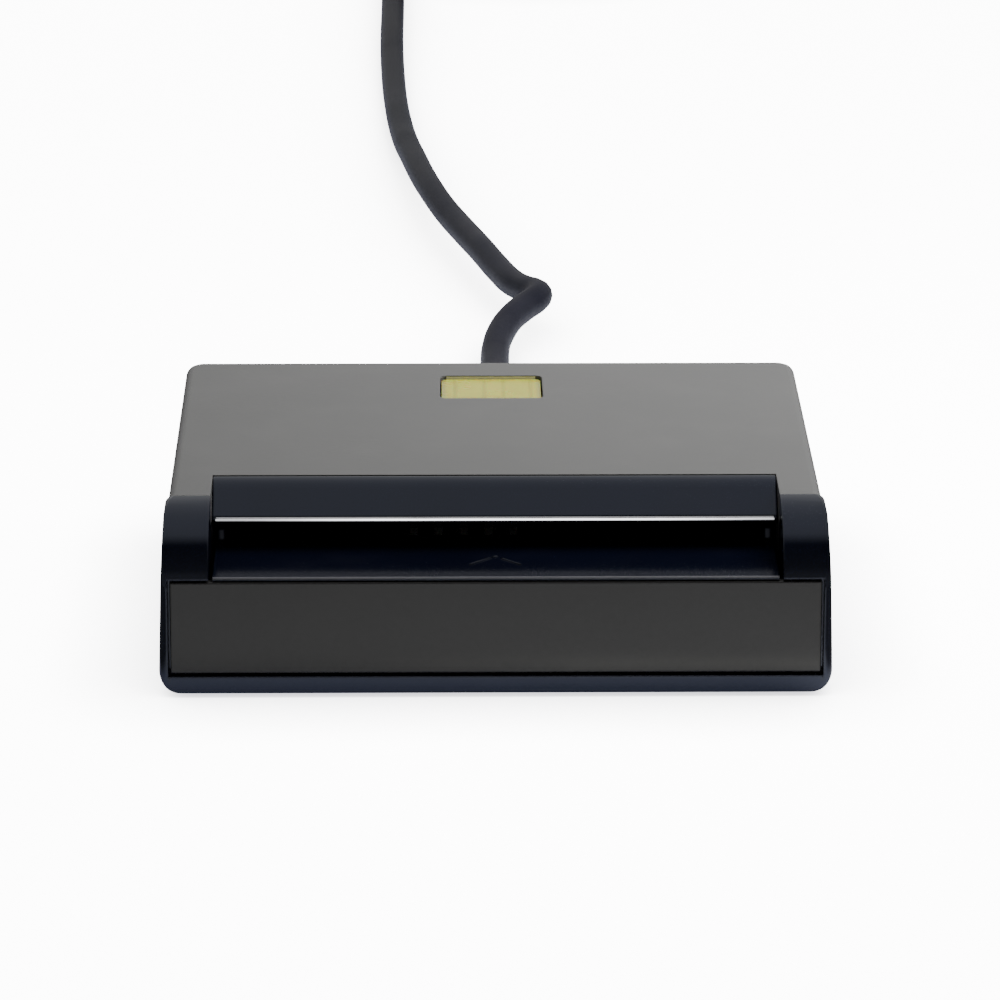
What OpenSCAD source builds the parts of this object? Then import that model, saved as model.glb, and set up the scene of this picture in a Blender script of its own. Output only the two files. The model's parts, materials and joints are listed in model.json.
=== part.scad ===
// Smart card reader: a low plastic body with a card mouth under a raised hood, a lit window
// in the top and a USB lead tied in a coil. Lengths are millimetres.
// +X is right, +Y is to the back and +Z is up. The origin lies on the table, under the middle of the body.

/* [Body] */
// Width of the front frame at its base
body_w = 67; // [66.5:0.5:80]
// Depth of the body from the front face to the rear face
body_d = 54; // [53.5:0.5:64]
// Height of the top face above the table
body_h = 18.4; // [18:0.1:22]
// Wall of the outer shells
wall = 1.6; // [1.3:0.1:1.8]
// Floor of the bottom shell
base_t = 1.8; // [1.5:0.1:2.2]
// How far each side leans in between base and top
side_draft = 0.6; // [0:0.05:0.8]
// How far the front frame stands proud of the cover on each side
frame_step = 0.3; // [0.1:0.05:0.4]
// Height of the seam between the bottom shell and the cover
seam_z = 5; // [4.6:0.1:5.6]
// Radius of the rear corners in plan
rear_corner_r = 4.8; // [3:0.1:5.2]
// Radius of the front corners in plan
front_corner_r = 1.2; // [0.6:0.1:1.4]
// Radius of the long edges of the top
top_edge_r = 0.9; // [0.4:0.1:1.4]
// Radius of the long edges of the base
base_edge_r = 2.2; // [1.8:0.1:3]
// Radius of the shoulder that rolls from the top face down to the front face
shoulder_r = 8.4; // [7.6:0.1:8.8]

/* [Card] */
// Room from the body's side to the card's edge, on each side of the slot
card_side_room = 6.51; // [6.4:0.01:6.7]
// Thickness of the card
card_t = 0.76; // [0.68:0.02:0.84]
// Room from the card's end stop to the rear face
card_rear_room = 15.5; // [14.8:0.1:16]
// Depth of the tray's face, where the card slides, under the top face
tray_drop = 5.95; // [5.75:0.05:6.1]

/* [Tray] */
// Thickness of the tray
tray_t = 1.4; // [1.2:0.1:1.6]
// Play beside the card
card_side_play = 0.21; // [0.1:0.01:0.3]
// Play above the card
card_top_play = 0.34; // [0.2:0.02:0.4]
// Width of the rail at each edge of the card
rail_w = 0.8; // [0.6:0.05:0.9]
// Thickness of the bridge over the card
bridge_t = 1.2; // [0.9:0.1:1.5]

/* [Hood] */
// How far behind the front face the hood's lip stands
lip_back = 10.1; // [9.9:0.1:10.6]
// How far behind the front face the hood meets the cover
hood_back = 14.6; // [14.4:0.1:15]
// Depth of the lip's upper edge under the top face
lip_drop = 2.85; // [2.6:0.05:3.1]
// Height of the bright trim on the lip
trim_h = 0.45; // [0.3:0.05:0.6]
// Thickness of the bright trim
trim_t = 0.18; // [0.1:0.02:0.3]
// Radius of the roll between the cover and the hood's face
hood_roll_r = 3; // [2:0.1:3.4]

/* [Panel] */
// How far the panel's upper edge lies under the tray's face
panel_drop = 0.45; // [0.35:0.05:1.1]
// Height of the panel's lower edge above the table
panel_z = 2.5; // [2.4:0.05:2.7]
// Thickness of the panel
panel_t = 1; // [0.8:0.05:1.1]
// How far the panel's face lies behind the front face
panel_inset = 0.3; // [0.15:0.05:0.4]
// Width of the frame's rim beside the panel
panel_rim = 1.25; // [1:0.05:1.6]

/* [Window] */
// Width of the light window
window_w = 10.6; // [9:0.1:12]
// Depth of the light window
window_d = 7.8; // [7:0.1:8]
// Distance from the rear face to the window
window_from_rear = 5.5; // [5:0.1:5.6]
// How far the window's face lies under the top face
window_inset = 0.35; // [0.2:0.05:0.5]

/* [Contacts] */
// Pitch of the contact springs
contact_pitch = 2.54; // [2.5:0.01:2.6]
// Width of a contact spring
contact_w = 1.1; // [0.8:0.05:1.3]
// Thickness of a contact spring
contact_t = 0.25; // [0.2:0.01:0.3]
// Length of a spring from its root to the crest
contact_arm = 6.35; // [5.8:0.05:6.5]
// How far a crest stands above the tray
contact_lift = 0.7; // [0.5:0.05:0.8]

/* [Lead] */
// Diameter of the lead
cord_d = 3.4; // [3:0.1:3.6]
// Length of the strain relief outside the body
relief_len = 10; // [8:0.5:14]
// Radius of the strain relief at the body
relief_r = 2.9; // [2.7:0.05:3.1]
// Thickness of the plug's grip
grip_t = 8.4; // [8:0.1:9]
// Width of the plug's grip
grip_w = 15.6; // [14:0.1:17]
// Length of the plug's grip
grip_len = 26; // [22:0.5:32]

/* [Hidden] */
$fn = 64;

// Fits: an overrun for cuts, a seam between shells, a gap round a loose piece, a slip fit and a running fit
cut = 1;
seam_gap = 0.05;
piece_gap = 0.3;
slip = 0.1;
running = 0.05;

// Body
foot_stand = 0.5;
half_w = body_w / 2;
base_z = foot_stand;
front_wall = 2.4;
joint_back = shoulder_r;
cover_half_w = half_w - frame_step;
inner_half_w = cover_half_w - side_draft - wall;
roof_z = body_h - wall;
base_top = base_z + base_t;
tongue_t = 1;
tongue_front = front_wall + piece_gap;
tongue_joint = 2;

// Card, tray, rails and bridge
card_w = body_w - 2 * card_side_room;
card_reach = body_d - card_rear_room;
tray_z = body_h - tray_drop;
card_half_w = card_w / 2 + card_side_play;
tray_half_w = card_half_w + rail_w;
channel_half_w = tray_half_w + piece_gap + slip;
tray_under = tray_z - tray_t;
slot_top = tray_z + card_t + card_top_play;
bridge_top = slot_top + bridge_t;
nose_back = 0.55;
nose_t = 0.33;
nose_chamfer = 0.15;
nose_len = 1.05;
stop_t = 1.4;
tray_back = card_reach + stop_t;
rail_front = 12.2;
bridge_front = 16.6;
cheek_t = 1.4;
leg_r = 1.3;
leg_front = 20;
leg_stand_in = 4.4;
leg_rear = tray_back - leg_stand_in;
leg_x = tray_half_w - leg_r;

// Hood
lip_z = body_h - lip_drop;
hood_half_w = channel_half_w - piece_gap;
hood_slope = 40;
lip_t = 0.5;
underside_back = 12.6;
hood_tail = 1.6;
hood_tail_drop = 0.2;
cover_notch = hood_back + piece_gap - running;
skirt_t = 1.2;
skirt_back = 2;
skirt_drop = 3.2;

// Panel
panel_h = tray_z - panel_drop - panel_z;
panel_half_w = half_w - panel_rim;
panel_gap = 0.25;
panel_pocket = panel_inset + panel_t;
ledge_w = 2.3;
ledge_top_h = 1.2;
hook_w = 4;
hook_t = 0.8;
hook_barb = 0.5;
hook_x_share = 0.62;

// Screws and their bosses
screw_r = 0.8;
screw_clear_r = 0.95;
head_r = 1.5;
head_t = 1.2;
head_pocket_r = 1.7;
head_depth = 2.4;
screw_len = 9;
boss_r = 1.6;
base_boss_r = 2.4;
boss_bite = 0.35;
boss_x = inner_half_w - boss_r + boss_bite;
boss_front = 12.4;
boss_rear_room = 5;
boss_rear = body_d - boss_rear_room;
rib_t = 1;
rib_front = 23;
rib_stand_in = 5.9;
rib_rear = tray_back - rib_stand_in;
rib_side_in = 3;
rib_half_w = tray_half_w - rib_side_in;

// Contact springs: places on the card, then the springs and their frame
chip_shift = -3.1;
row_rear_inset = 11.25;
row_front_inset = 18.87;
row_count = 4;
root_r = 0.3;
root_gap = 0.15;
crest_half = 0.35;
tip_len = 1.3;
tip_drop = 0.75;
crest_ease = 1;
crest_ease_drop = 0.35;
slot_side = 0.3;
slot_below = 0.9;
slot_past_tip = 0.5;
tail_back = 1;
tail_foot = 0.55;
frame_end = 1.6;
frame_side = 1.3;
insert_gap = 0.25;
insert_drop = 0.2;
insert_side = 0.85;
root_rise = 1.6;
rows_back = [card_reach - row_rear_inset, card_reach - row_front_inset];
rows_dir = [1, -1];
roots_back = [rows_back[0] + contact_arm, rows_back[1] - contact_arm];
connector_half_w = (row_count - 1) * contact_pitch / 2 + contact_w / 2 + slot_side + frame_side;
insert_half_w = (row_count - 1) * contact_pitch / 2 + contact_w / 2 + slot_side + insert_side;

// Main board, hung under the tray, with a notch behind for the lead
board_drop = 5.45;
board_z = tray_z - board_drop;
board_t = 1.6;
board_top = board_z + board_t;
board_side_gap = 2.95;
board_half_w = boss_x - base_boss_r - board_side_gap;
board_front_gap = 0.05;
board_front = roots_back[1] - frame_end - board_front_gap;
board_rear_room = 4;
board_rear = body_d - board_rear_room;
board_corner_r = 1.5;
notch_left = 5.4;
notch_right = 2.4;
notch_d = 6;
post_r = 2.2;
post_side_in = 2.8;
post_x = board_half_w - post_side_in;
post_front_in = 2.4;
post_front = board_front + post_front_in;
post_rear = board_rear - post_side_in;
peg_r = 0.9;
board_screw_len = board_z - base_top - piece_gap;
board_head_t = 0.9;
root_z = board_top + root_rise;
contact_rise = tray_z + contact_lift - contact_t / 2 - root_z;

// Card switch
switch_side_in = 13;
switch_x = tray_half_w - switch_side_in;
switch_stop_in = 1.1;
switch_pivot_back = card_reach - switch_stop_in;
switch_pivot_rise = 1.6;
switch_pivot_z = board_top + switch_pivot_rise;
lever_w = 1.9;
lever_t = 0.9;
lever_hub_r = 0.8;
lever_pin_r = 0.4;
lever_rise = 0.8;
lever_top = tray_z + lever_rise;
lever_lean = 0.6;
ear_t = 0.8;
ear_gap = 0.15;
ear_over = 0.65;
ear_top = switch_pivot_z + ear_over;
switch_ahead = 2.9;
switch_behind = 3.1;
switch_front = switch_pivot_back - switch_ahead;
switch_back = switch_pivot_back + switch_behind;
switch_body_h = 0.6;
lever_slot_ahead = 1.5;
lever_slot_front = switch_pivot_back - lever_slot_ahead;
lever_slot_side = 0.35;

// Parts on the board
chip_side_in = 8.4;
chip_x = board_half_w - chip_side_in;
chip_ahead = 10.5;
chip_back = switch_front - chip_ahead;
chip_size = 7;
chip_h = 1.4;
chip_stand = 0.1;
lead_pitch = 0.8;
lead_w = 0.35;
lead_len = 1;
lead_t = 0.15;
leads_per_side = 8;
crystal_x = chip_x;
crystal_ahead = 9.8;
crystal_back = chip_back - crystal_ahead;
crystal_w = 5;
crystal_d = 3.2;
crystal_h = 1.2;
crystal_lid_inset = 0.35;
crystal_lid_h = 0.2;
regulator_side_in = 7.4;
regulator_x = regulator_side_in - board_half_w;
regulator_ahead = 11.4;
regulator_back = board_rear - regulator_ahead;
regulator_w = 6.5;
regulator_d = 3.5;
regulator_h = 1.6;
regulator_tab = 1.6;
regulator_pin_w = 0.7;
regulator_pin_pitch = 2.3;
small_w = 2;
small_d = 1.25;
small_h = 0.9;
tiny_w = 1.6;
tiny_d = 0.8;
tiny_h = 0.5;
small_gap = 0.3;
capacitor_places = [
    [chip_x - chip_size / 2 - lead_len - small_w / 2 - small_gap, chip_back],
    [chip_x, chip_back + chip_size],
    [crystal_x - crystal_w, crystal_back],
    [regulator_x, regulator_back - regulator_w],
    [regulator_x - small_w, regulator_back + regulator_d + small_d]
];
resistor_places = [
    [-chip_x, chip_back - chip_size / 2],
    [-chip_x, chip_back],
    [-chip_x, chip_back + chip_size / 2],
    [regulator_x, regulator_back - regulator_w - small_w]
];

// Light window, its guide and the two lights under it
window_corner_r = 0.6;
window_gap = 0.12;
window_back = body_d - window_from_rear - window_d;
window_face = body_h - window_inset;
flange_over = 1.1;
flange_t = 0.8;
guide_half_w = 2.6;
guide_d = 3;
guide_floor_gap = 0.35;
light_w = 1.6;
light_d = 0.9;
light_h = 0.7;
light_x = 1.5;
light_back = window_back + window_d / 2;
guide_z = board_top + light_h + guide_floor_gap;

// Rubber feet
foot_r = 3.2;
foot_sink = 0.6;
foot_x_share = 0.7;
foot_front = 14.5;
foot_rear_room = 7.5;
foot_rear = body_d - foot_rear_room;

// Lead: the relief held in the seam, the jacket inside and the wires
cord_r = cord_d / 2;
cord_z = seam_z;
flange_r = 3.2;
flange_inner_r = 2.65;
flange_inner_t = 1.6;
flange_outer_t = 1.1;
neck_r = 2.1;
relief_end_r = 2.2;
relief_groove = 0.35;
relief_grooves = 5;
relief_first_share = 0.16;
relief_pitch_share = 0.15;
relief_groove_share = 0.07;
jacket_in = 2.5;
rear_inner = body_d - wall;
header_over = 1;
header_edge = header_over - notch_left;
header_w = 5;
header_d = 6;
header_h = 3.6;
header_rear_in = 0.6;
header_back = board_rear - header_rear_in - header_d;
header_wall = 0.6;
wire_r = 0.3;
wire_count = 4;
wire_pitch = 1.2;
wire_spread = 0.95;
wire_in = 0.3;

// The lead's route over the table: points chosen by hand, in real sizes
cord_route = [
    [0, 37, 5], [0, 41, 5], [0, 50, 4.2], [0.3, 60, 2.8], [0.7, 70, 2],
    [1.1, 78, 2.1], [1.3, 84, 2.6], [1.9, 88, 3.1], [3.1, 91.8, 3.8], [4.8, 95.1, 4.3],
    [6.5, 97.9, 4.7], [6.5, 100.4, 4.6], [5.2, 102.9, 4.3], [3.7, 106, 4.2], [2, 112, 4.2],
    [-0.1, 120.4, 4.4], [-2.4, 129.4, 4.5], [-4.4, 138, 4.5], [-6.1, 147.8, 4.3],
    [-7.5, 158, 3.9], [-8.7, 169, 3.4], [-9.7, 179, 2.8], [-10.5, 190, 2.3],
    [-11.2, 204, 1.9], [-11.7, 220, 1.8], [-12, 238, 2.1], [-12, 256, 2.4],
    [-12, 274, 2.6], [-12, 290, 2.6], [-12, 301, 2.6], [-12, 305, 2.6]
];
cord_sides = 8;

// Coil: five turns that spiral in and out again in two layers
coil_turns = 5;
coil_rings = 24;
coil_sides = 6;
coil_inner_r = 12.4;
coil_pitch = 4;
coil_layer = 4;
coil_start = cord_route[len(cord_route) - 1];
coil_outer_r = coil_inner_r + coil_pitch * coil_turns / 2;
coil_centre = [coil_start[0] + coil_outer_r, coil_start[1]];
climb_turns = 0.5;
tie_t = 0.6;
tie_w = 5;
tie_gap = 0.3;

// Plug lead: from the coil to the plug, points chosen by hand
plug_route = [
    [-12, 305, 6.6], [-12, 309, 6.6], [-12, 316, 6.2], [-12, 324, 5.2], [-12, 332, 4.4],
    [-12, 338, 4.2], [-12, 342, 4.2]
];
plug_start = plug_route[len(plug_route) - 1];
grip_neck_len = 9;
grip_neck_r = 2.6;
grip_edge_r = 1.6;
grip_ribs = 4;
grip_rib_depth = 0.4;
grip_rib_w = 0.9;
grip_rib_pitch = 1.9;
grip_rib_start = 5;
shell_w = 12;
shell_h = 4.5;
shell_t = 0.3;
shell_len = 12.4;
latch = 2.2;
latch_x = 2.5;
latch_back = 5;
insulator_t = 1.84;
insulator_end_gap = 0.3;
plug_contact_w = 1;
plug_contact_t = 0.2;
plug_contact_len = 7.4;
plug_contact_inner_x = 1;
plug_contact_outer_x = 3.5;

// Colours
navy = [0.035, 0.04, 0.06];
cover_gray = [0.47, 0.47, 0.47];
panel_gray = [0.07, 0.07, 0.07];
window_yellow = [0.73, 0.72, 0.5];
steel = [0.78, 0.79, 0.8];
gold = [0.85, 0.68, 0.3];
board_green = [0.05, 0.28, 0.14];
white_nylon = [0.9, 0.89, 0.84];
rubber = [0.1, 0.1, 0.11];
jacket_black = [0.05, 0.055, 0.06];

// A depth behind the front face, as a place along Y
function behind(d) = d - body_d / 2;

// A profile drawn in Y and Z, drawn out to a width along X about the middle
module across(w) {
    rotate([90, 0, 90])
        linear_extrude(height = w, center = true)
            children();
}

// A box between two corners
module span(low, high) {
    translate(low)
        cube(high - low);
}

// A box as wide as a half width to each side
module centred_span(half, y, z) {
    span([-half, y[0], z[0]], [half, y[1], z[1]]);
}

// A copy on the left and one on the right
module both_sides() {
    for (side = [-1, 1])
        mirror([side < 0 ? 1 : 0, 0, 0])
            children();
}

// What a round corner cuts off, seen from the corner's own centre
module corner_waste(r, sx, sy) {
    difference() {
        translate([sx > 0 ? 0 : -r - cut, sy > 0 ? 0 : -r - cut])
            square(r + cut);
        circle(r);
    }
}

// The section of the body across its width: leaning sides, round long edges
module width_section(half, inset) {
    low = base_z + inset;
    high = body_h - inset;
    lean = side_draft / (body_h - base_z);
    base_half = half - inset;
    top_half = half - side_draft - inset;
    base_r = max(base_edge_r - inset, wall / 4);
    top_r = max(top_edge_r - inset, wall / 4);
    difference() {
        polygon([[-base_half, low], [base_half, low], [top_half, high], [-top_half, high]]);
        for (side = [-1, 1]) {
            translate([side * (base_half - base_r - lean * base_r), low + base_r])
                corner_waste(base_r, side, -1);
            translate([side * (top_half - top_r + lean * top_r), high - top_r])
                corner_waste(top_r, side, 1);
        }
    }
}

// The plan of the body with its four round corners
module plan_section(half, inset, front_inset) {
    front_r = max(front_corner_r - inset, wall / 4);
    rear_r = rear_corner_r - inset;
    front = behind(front_inset);
    rear = behind(body_d - inset);
    edge = half - inset;
    difference() {
        translate([-edge, front])
            square([2 * edge, rear - front]);
        for (side = [-1, 1]) {
            translate([side * (edge - front_r), front + front_r])
                corner_waste(front_r, side, -1);
            translate([side * (edge - rear_r), rear - rear_r])
                corner_waste(rear_r, side, 1);
        }
    }
}

// The body seen from the side: the round shoulder in front, a soft edge behind
module side_section(inset, front_inset) {
    front = behind(front_inset);
    rear = behind(body_d - inset);
    low = base_z + inset;
    high = body_h - inset;
    roll_r = shoulder_r - max(inset, front_inset);
    soft_r = max(top_edge_r - inset, wall / 4);
    difference() {
        translate([front, low])
            square([rear - front, high - low]);
        translate([front + roll_r, high - roll_r])
            corner_waste(roll_r, -1, 1);
        translate([rear - soft_r, high - soft_r])
            corner_waste(soft_r, 1, 1);
    }
}

// The body's outer form, or the same form drawn in by a wall
module body_form(half, inset = 0, front_inset = 0) {
    intersection() {
        rotate([90, 0, 0])
            linear_extrude(height = 2 * body_d, center = true)
                width_section(half, inset);
        linear_extrude(height = 2 * body_h)
            plan_section(half, inset, front_inset);
        across(2 * body_w)
            side_section(inset, front_inset);
    }
}

// A round bar along Z between two heights
module post(x, d, r, low, high) {
    translate([x, behind(d), low])
        cylinder(r = r, h = high - low);
}

// Lower shell: floor, low walls, bosses, board posts and the tongue under the front frame
module bottom_shell() {
    color(navy)
        difference() {
            union() {
                difference() {
                    body_form(cover_half_w);
                    centred_span(body_w, [behind(0) - cut, behind(joint_back)], [0, body_h + cut]);
                    centred_span(body_w, [behind(0) - cut, behind(body_d) + cut], [seam_z, body_h + cut]);
                    intersection() {
                        body_form(cover_half_w, wall, wall);
                        centred_span(body_w, [behind(0), behind(body_d)], [base_top, body_h]);
                    }
                    centred_span(inner_half_w, [behind(joint_back) - cut, behind(joint_back + tongue_joint)],
                        [base_top, body_h]);
                }
                centred_span(inner_half_w - slip, [behind(tongue_front), behind(joint_back + tongue_joint)],
                    [base_z + wall + slip, base_z + wall + slip + tongue_t]);
                both_sides() {
                    for (d = [boss_front, boss_rear])
                        post(boss_x, d, base_boss_r, base_top - slip, seam_z);
                    for (d = [post_front, post_rear])
                        post(post_x, d, post_r, base_top - slip, board_z);
                    post(post_x, post_front, peg_r, board_z - slip, board_top);
                }
            }
            both_sides() {
                for (d = [boss_front, boss_rear]) {
                    post(boss_x, d, screw_clear_r, 0, body_h);
                    post(boss_x, d, head_pocket_r, 0, base_z + head_depth);
                }
                for (d = [foot_front, foot_rear])
                    post(foot_x_share * half_w, d, foot_r + slip / 2, 0, base_z + foot_sink);
                post(post_x, post_rear, screw_r, board_z - board_screw_len, body_h);
            }
            translate([0, behind(body_d) + cut, cord_z])
                rotate([90, 0, 0])
                    cylinder(r = neck_r + running, h = 2 * wall + cut);
        }
}

// Upper shell: the gray cover with its window hole, the notch for the hood and the ribs over the bridge
module top_cover() {
    color(cover_gray)
        difference() {
            union() {
                difference() {
                    body_form(cover_half_w);
                    body_form(cover_half_w, wall, wall);
                }
                intersection() {
                    body_form(cover_half_w, wall / 2, wall / 2);
                    union() {
                        both_sides() {
                            for (d = [boss_front, boss_rear])
                                post(boss_x, d, boss_r, seam_z, body_h);
                            span([channel_half_w, behind(joint_back), body_h - skirt_drop],
                                [channel_half_w + skirt_t, behind(cover_notch + skirt_back), body_h]);
                        }
                        for (d = [rib_front, rib_rear])
                            centred_span(rib_half_w, [behind(d), behind(d + rib_t)],
                                [bridge_top + running, body_h]);
                    }
                }
            }
            centred_span(body_w, [behind(0) - cut, behind(joint_back)], [0, body_h + cut]);
            centred_span(body_w, [behind(0) - cut, behind(body_d) + cut], [0, seam_z + seam_gap]);
            centred_span(channel_half_w, [behind(0) - cut, behind(cover_notch)], [0, body_h + cut]);
            window_block(window_gap, body_h - 2 * wall, body_h + cut);
            both_sides()
                for (d = [boss_front, boss_rear])
                    post(boss_x, d, screw_r + slip / 4, 0, roof_z - wall);
            translate([0, behind(body_d) + cut, cord_z])
                rotate([90, 0, 0])
                    cylinder(r = neck_r + running, h = 2 * wall + cut);
        }
}

// Front frame: two rolled shoulders, the posts beside the panel, the rim under it and the ledge behind it
module front_frame() {
    pocket_half = panel_half_w + panel_gap;
    color(navy)
        difference() {
            intersection() {
                body_form(half_w);
                difference() {
                    centred_span(body_w, [behind(0), behind(joint_back)], [0, body_h]);
                    difference() {
                        body_form(half_w, wall, front_wall);
                        both_sides()
                            span([channel_half_w, behind(0), tray_under - ledge_top_h],
                                [channel_half_w + cheek_t, behind(joint_back), body_h]);
                        centred_span(half_w, [behind(0), behind(front_wall)], [0, tray_under - running]);
                    }
                }
            }
            centred_span(channel_half_w, [behind(0) - cut, behind(joint_back) + cut],
                [tray_under - running, body_h + cut]);
            centred_span(pocket_half, [behind(0) - cut, behind(panel_pocket)],
                [panel_z - panel_gap, panel_z + panel_h + panel_gap]);
            centred_span(channel_half_w, [behind(0) - cut, behind(panel_pocket)],
                [panel_z, tray_z]);
            centred_span(pocket_half - ledge_w, [behind(0) - cut, behind(front_wall) + cut],
                [panel_z + ledge_top_h, panel_z + panel_h - ledge_w]);
        }
}

// Front panel: a plain plate with four hooks behind it
module front_panel() {
    hook_low = panel_z + ledge_top_h + slip;
    hook_high = panel_z + panel_h - ledge_w - slip;
    color(panel_gray)
        union() {
            centred_span(panel_half_w, [behind(panel_inset), behind(panel_pocket)],
                [panel_z, panel_z + panel_h]);
            for (side = [-1, 1])
                for (edge = [[hook_low, 1], [hook_high, -1]])
                    translate([side * hook_x_share * panel_half_w, 0, edge[0]])
                        mirror([0, 0, edge[1] > 0 ? 0 : 1]) {
                            span([-hook_w / 2, behind(panel_pocket) - slip, 0],
                                [hook_w / 2, behind(front_wall + slip + hook_t), hook_t]);
                            span([-hook_w / 2, behind(front_wall + slip), -hook_barb],
                                [hook_w / 2, behind(front_wall + slip + hook_t), hook_t]);
                        }
        }
}

// The hood from the side: a roll behind, the sloping face, the thin lip and the funnel over the slot
module hood_section() {
    roll_back = hood_roll_r * sin(hood_slope);
    roll_drop = hood_roll_r * (1 - cos(hood_slope));
    rear = behind(hood_back);
    face_top = [rear - roll_back, body_h - roll_drop];
    face_low = [behind(lip_back), lip_z];
    difference() {
        polygon([
            [rear, body_h],
            [rear - roll_back, body_h],
            face_top,
            face_low,
            [behind(lip_back), lip_z - trim_h],
            [behind(lip_back) + trim_t, lip_z - lip_t - trim_t],
            [behind(underside_back), slot_top],
            [rear + hood_tail, slot_top],
            [rear + hood_tail, roof_z - hood_tail_drop],
            [rear, roof_z - hood_tail_drop]
        ]);
        difference() {
            translate([rear - roll_back, body_h - roll_drop])
                square([roll_back, roll_drop + cut]);
            translate([rear, body_h - hood_roll_r])
                circle(hood_roll_r);
        }
    }
}

// Hood: the raised bar between the shoulders, whose lip leads the card into the slot
module slot_hood() {
    color(navy)
        across(2 * hood_half_w)
            hood_section();
}

// Bright strip along the hood's lip
module hood_trim() {
    color(steel)
        centred_span(hood_half_w - slip, [behind(lip_back) - trim_t, behind(lip_back)],
            [lip_z - trim_h, lip_z]);
}

// Card tray: the floor that the card slides on, its rails, stop and legs,
// and the holes for springs and switch
module card_tray() {
    color(navy)
        difference() {
            union() {
                across(2 * tray_half_w)
                    polygon([
                        [behind(nose_back), tray_z - nose_t],
                        [behind(nose_back), tray_z - nose_chamfer],
                        [behind(nose_back + nose_chamfer), tray_z],
                        [behind(tray_back), tray_z],
                        [behind(tray_back), tray_under],
                        [behind(nose_back + nose_len), tray_under],
                        [behind(nose_back + nose_len), tray_z - nose_t]
                    ]);
                both_sides() {
                    span([card_half_w, behind(rail_front), tray_under],
                        [tray_half_w, behind(tray_back), slot_top]);
                    for (d = [leg_front, leg_rear])
                        post(leg_x, d, leg_r, base_top, tray_z - slip);
                }
                centred_span(tray_half_w, [behind(card_reach), behind(tray_back)], [tray_under, slot_top]);
            }
            translate([chip_shift, 0, 0])
                centred_span(insert_half_w + insert_gap,
                    [behind(roots_back[1] + insert_gap), behind(roots_back[0] - insert_gap)],
                    [0, body_h]);
            span([switch_x - lever_w / 2 - lever_slot_side, behind(lever_slot_front), 0],
                [switch_x + lever_w / 2 + lever_slot_side, behind(tray_back) + cut, body_h]);
        }
}

// Bridge: the plate over the card, lying on the rails and the stop
module card_bridge() {
    color(navy)
        centred_span(tray_half_w, [behind(bridge_front), behind(tray_back)], [slot_top, bridge_top]);
}

// The window's outline with its round corners, between two heights
module window_block(grow, low, high) {
    half = window_w / 2 + grow;
    r = window_corner_r + grow;
    front = behind(window_back) - grow;
    rear = behind(window_back + window_d) + grow;
    translate([0, 0, low])
        linear_extrude(height = high - low)
            difference() {
                translate([-half, front])
                    square([2 * half, rear - front]);
                for (side = [-1, 1]) {
                    translate([side * (half - r), front + r])
                        corner_waste(r, side, -1);
                    translate([side * (half - r), rear - r])
                        corner_waste(r, side, 1);
                }
            }
}

// Light window: the pane, the flange under the cover and the guide down to the lights
module light_window() {
    color(window_yellow)
        union() {
            window_block(0, roof_z - running - flange_t, window_face);
            window_block(flange_over, roof_z - running - flange_t, roof_z - running);
            centred_span(guide_half_w, [behind(light_back - guide_d / 2), behind(light_back + guide_d / 2)],
                [guide_z, roof_z - flange_t]);
        }
}

// Main board with round corners, holes for the pegs and screws, and the lead's notch
module main_board() {
    color(board_green)
        difference() {
            translate([0, 0, board_z])
                linear_extrude(height = board_t)
                    difference() {
                        translate([-board_half_w, behind(board_front)])
                            square([2 * board_half_w, board_rear - board_front]);
                        for (side = [-1, 1]) {
                            translate([side * (board_half_w - board_corner_r),
                                behind(board_front + board_corner_r)])
                                corner_waste(board_corner_r, side, -1);
                            translate([side * (board_half_w - board_corner_r),
                                behind(board_rear - board_corner_r)])
                                corner_waste(board_corner_r, side, 1);
                        }
                    }
            both_sides() {
                post(post_x, post_front, peg_r + slip, 0, body_h);
                post(post_x, post_rear, screw_clear_r, 0, body_h);
            }
            span([-notch_left, behind(board_rear - notch_d), 0],
                [notch_right, behind(board_rear) + cut, body_h]);
        }
}

// The X place of a contact in its row
function contact_x(i) = chip_shift + (i - (row_count - 1) / 2) * contact_pitch;

// Draws children in a row's own frame: the root at the origin and the arm towards -Y
module in_row(row) {
    translate([0, behind(roots_back[row]), root_z])
        mirror([0, rows_dir[row] > 0 ? 0 : 1, 0])
            children();
}

// Connector frame: a comb-ended block on the board that holds both rows of springs
module connector_frame() {
    rear = behind(roots_back[0] + frame_end);
    front = behind(roots_back[1] - frame_end);
    slot_half = contact_w / 2 + slot_side;
    color(white_nylon)
        difference() {
            translate([chip_shift, 0, 0]) {
                centred_span(connector_half_w, [front, rear], [board_top, tray_under - slip]);
                centred_span(insert_half_w,
                    [behind(roots_back[1] + 2 * insert_gap), behind(roots_back[0] - 2 * insert_gap)],
                    [board_top, tray_z - insert_drop]);
            }
            for (row = [0, 1])
                in_row(row)
                    for (i = [0 : row_count - 1])
                        translate([contact_x(i), 0, 0]) {
                            span([-slot_half, -contact_arm - tip_len - slot_past_tip, -slot_below],
                                [slot_half, root_r + slip, body_h]);
                            span([-slot_half, root_r, board_top - root_z - cut],
                                [slot_half, frame_end + cut, body_h]);
                        }
        }
}

// The direction from one point to the next
function heading(p, q) = atan2(q[1] - p[1], q[0] - p[0]);

// One edge of a strip that follows a line of points
function strip_edge(line, off) = [
    for (i = [0 : len(line) - 1])
        let (last = len(line) - 1,
            before = heading(line[max(i - 1, 0)], line[max(i, 1)]),
            after = heading(line[min(i, last - 1)], line[min(i + 1, last)]),
            middle = (before + after) / 2,
            reach = off / cos((after - before) / 2))
        line[i] + reach * [-sin(middle), cos(middle)]
];

// A strip of even thickness along a line of points
module strip(line, t) {
    near = strip_edge(line, t / 2);
    far = strip_edge(line, -t / 2);
    polygon(concat(near, [for (i = [len(far) - 1 : -1 : 0]) far[i]]));
}

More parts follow.
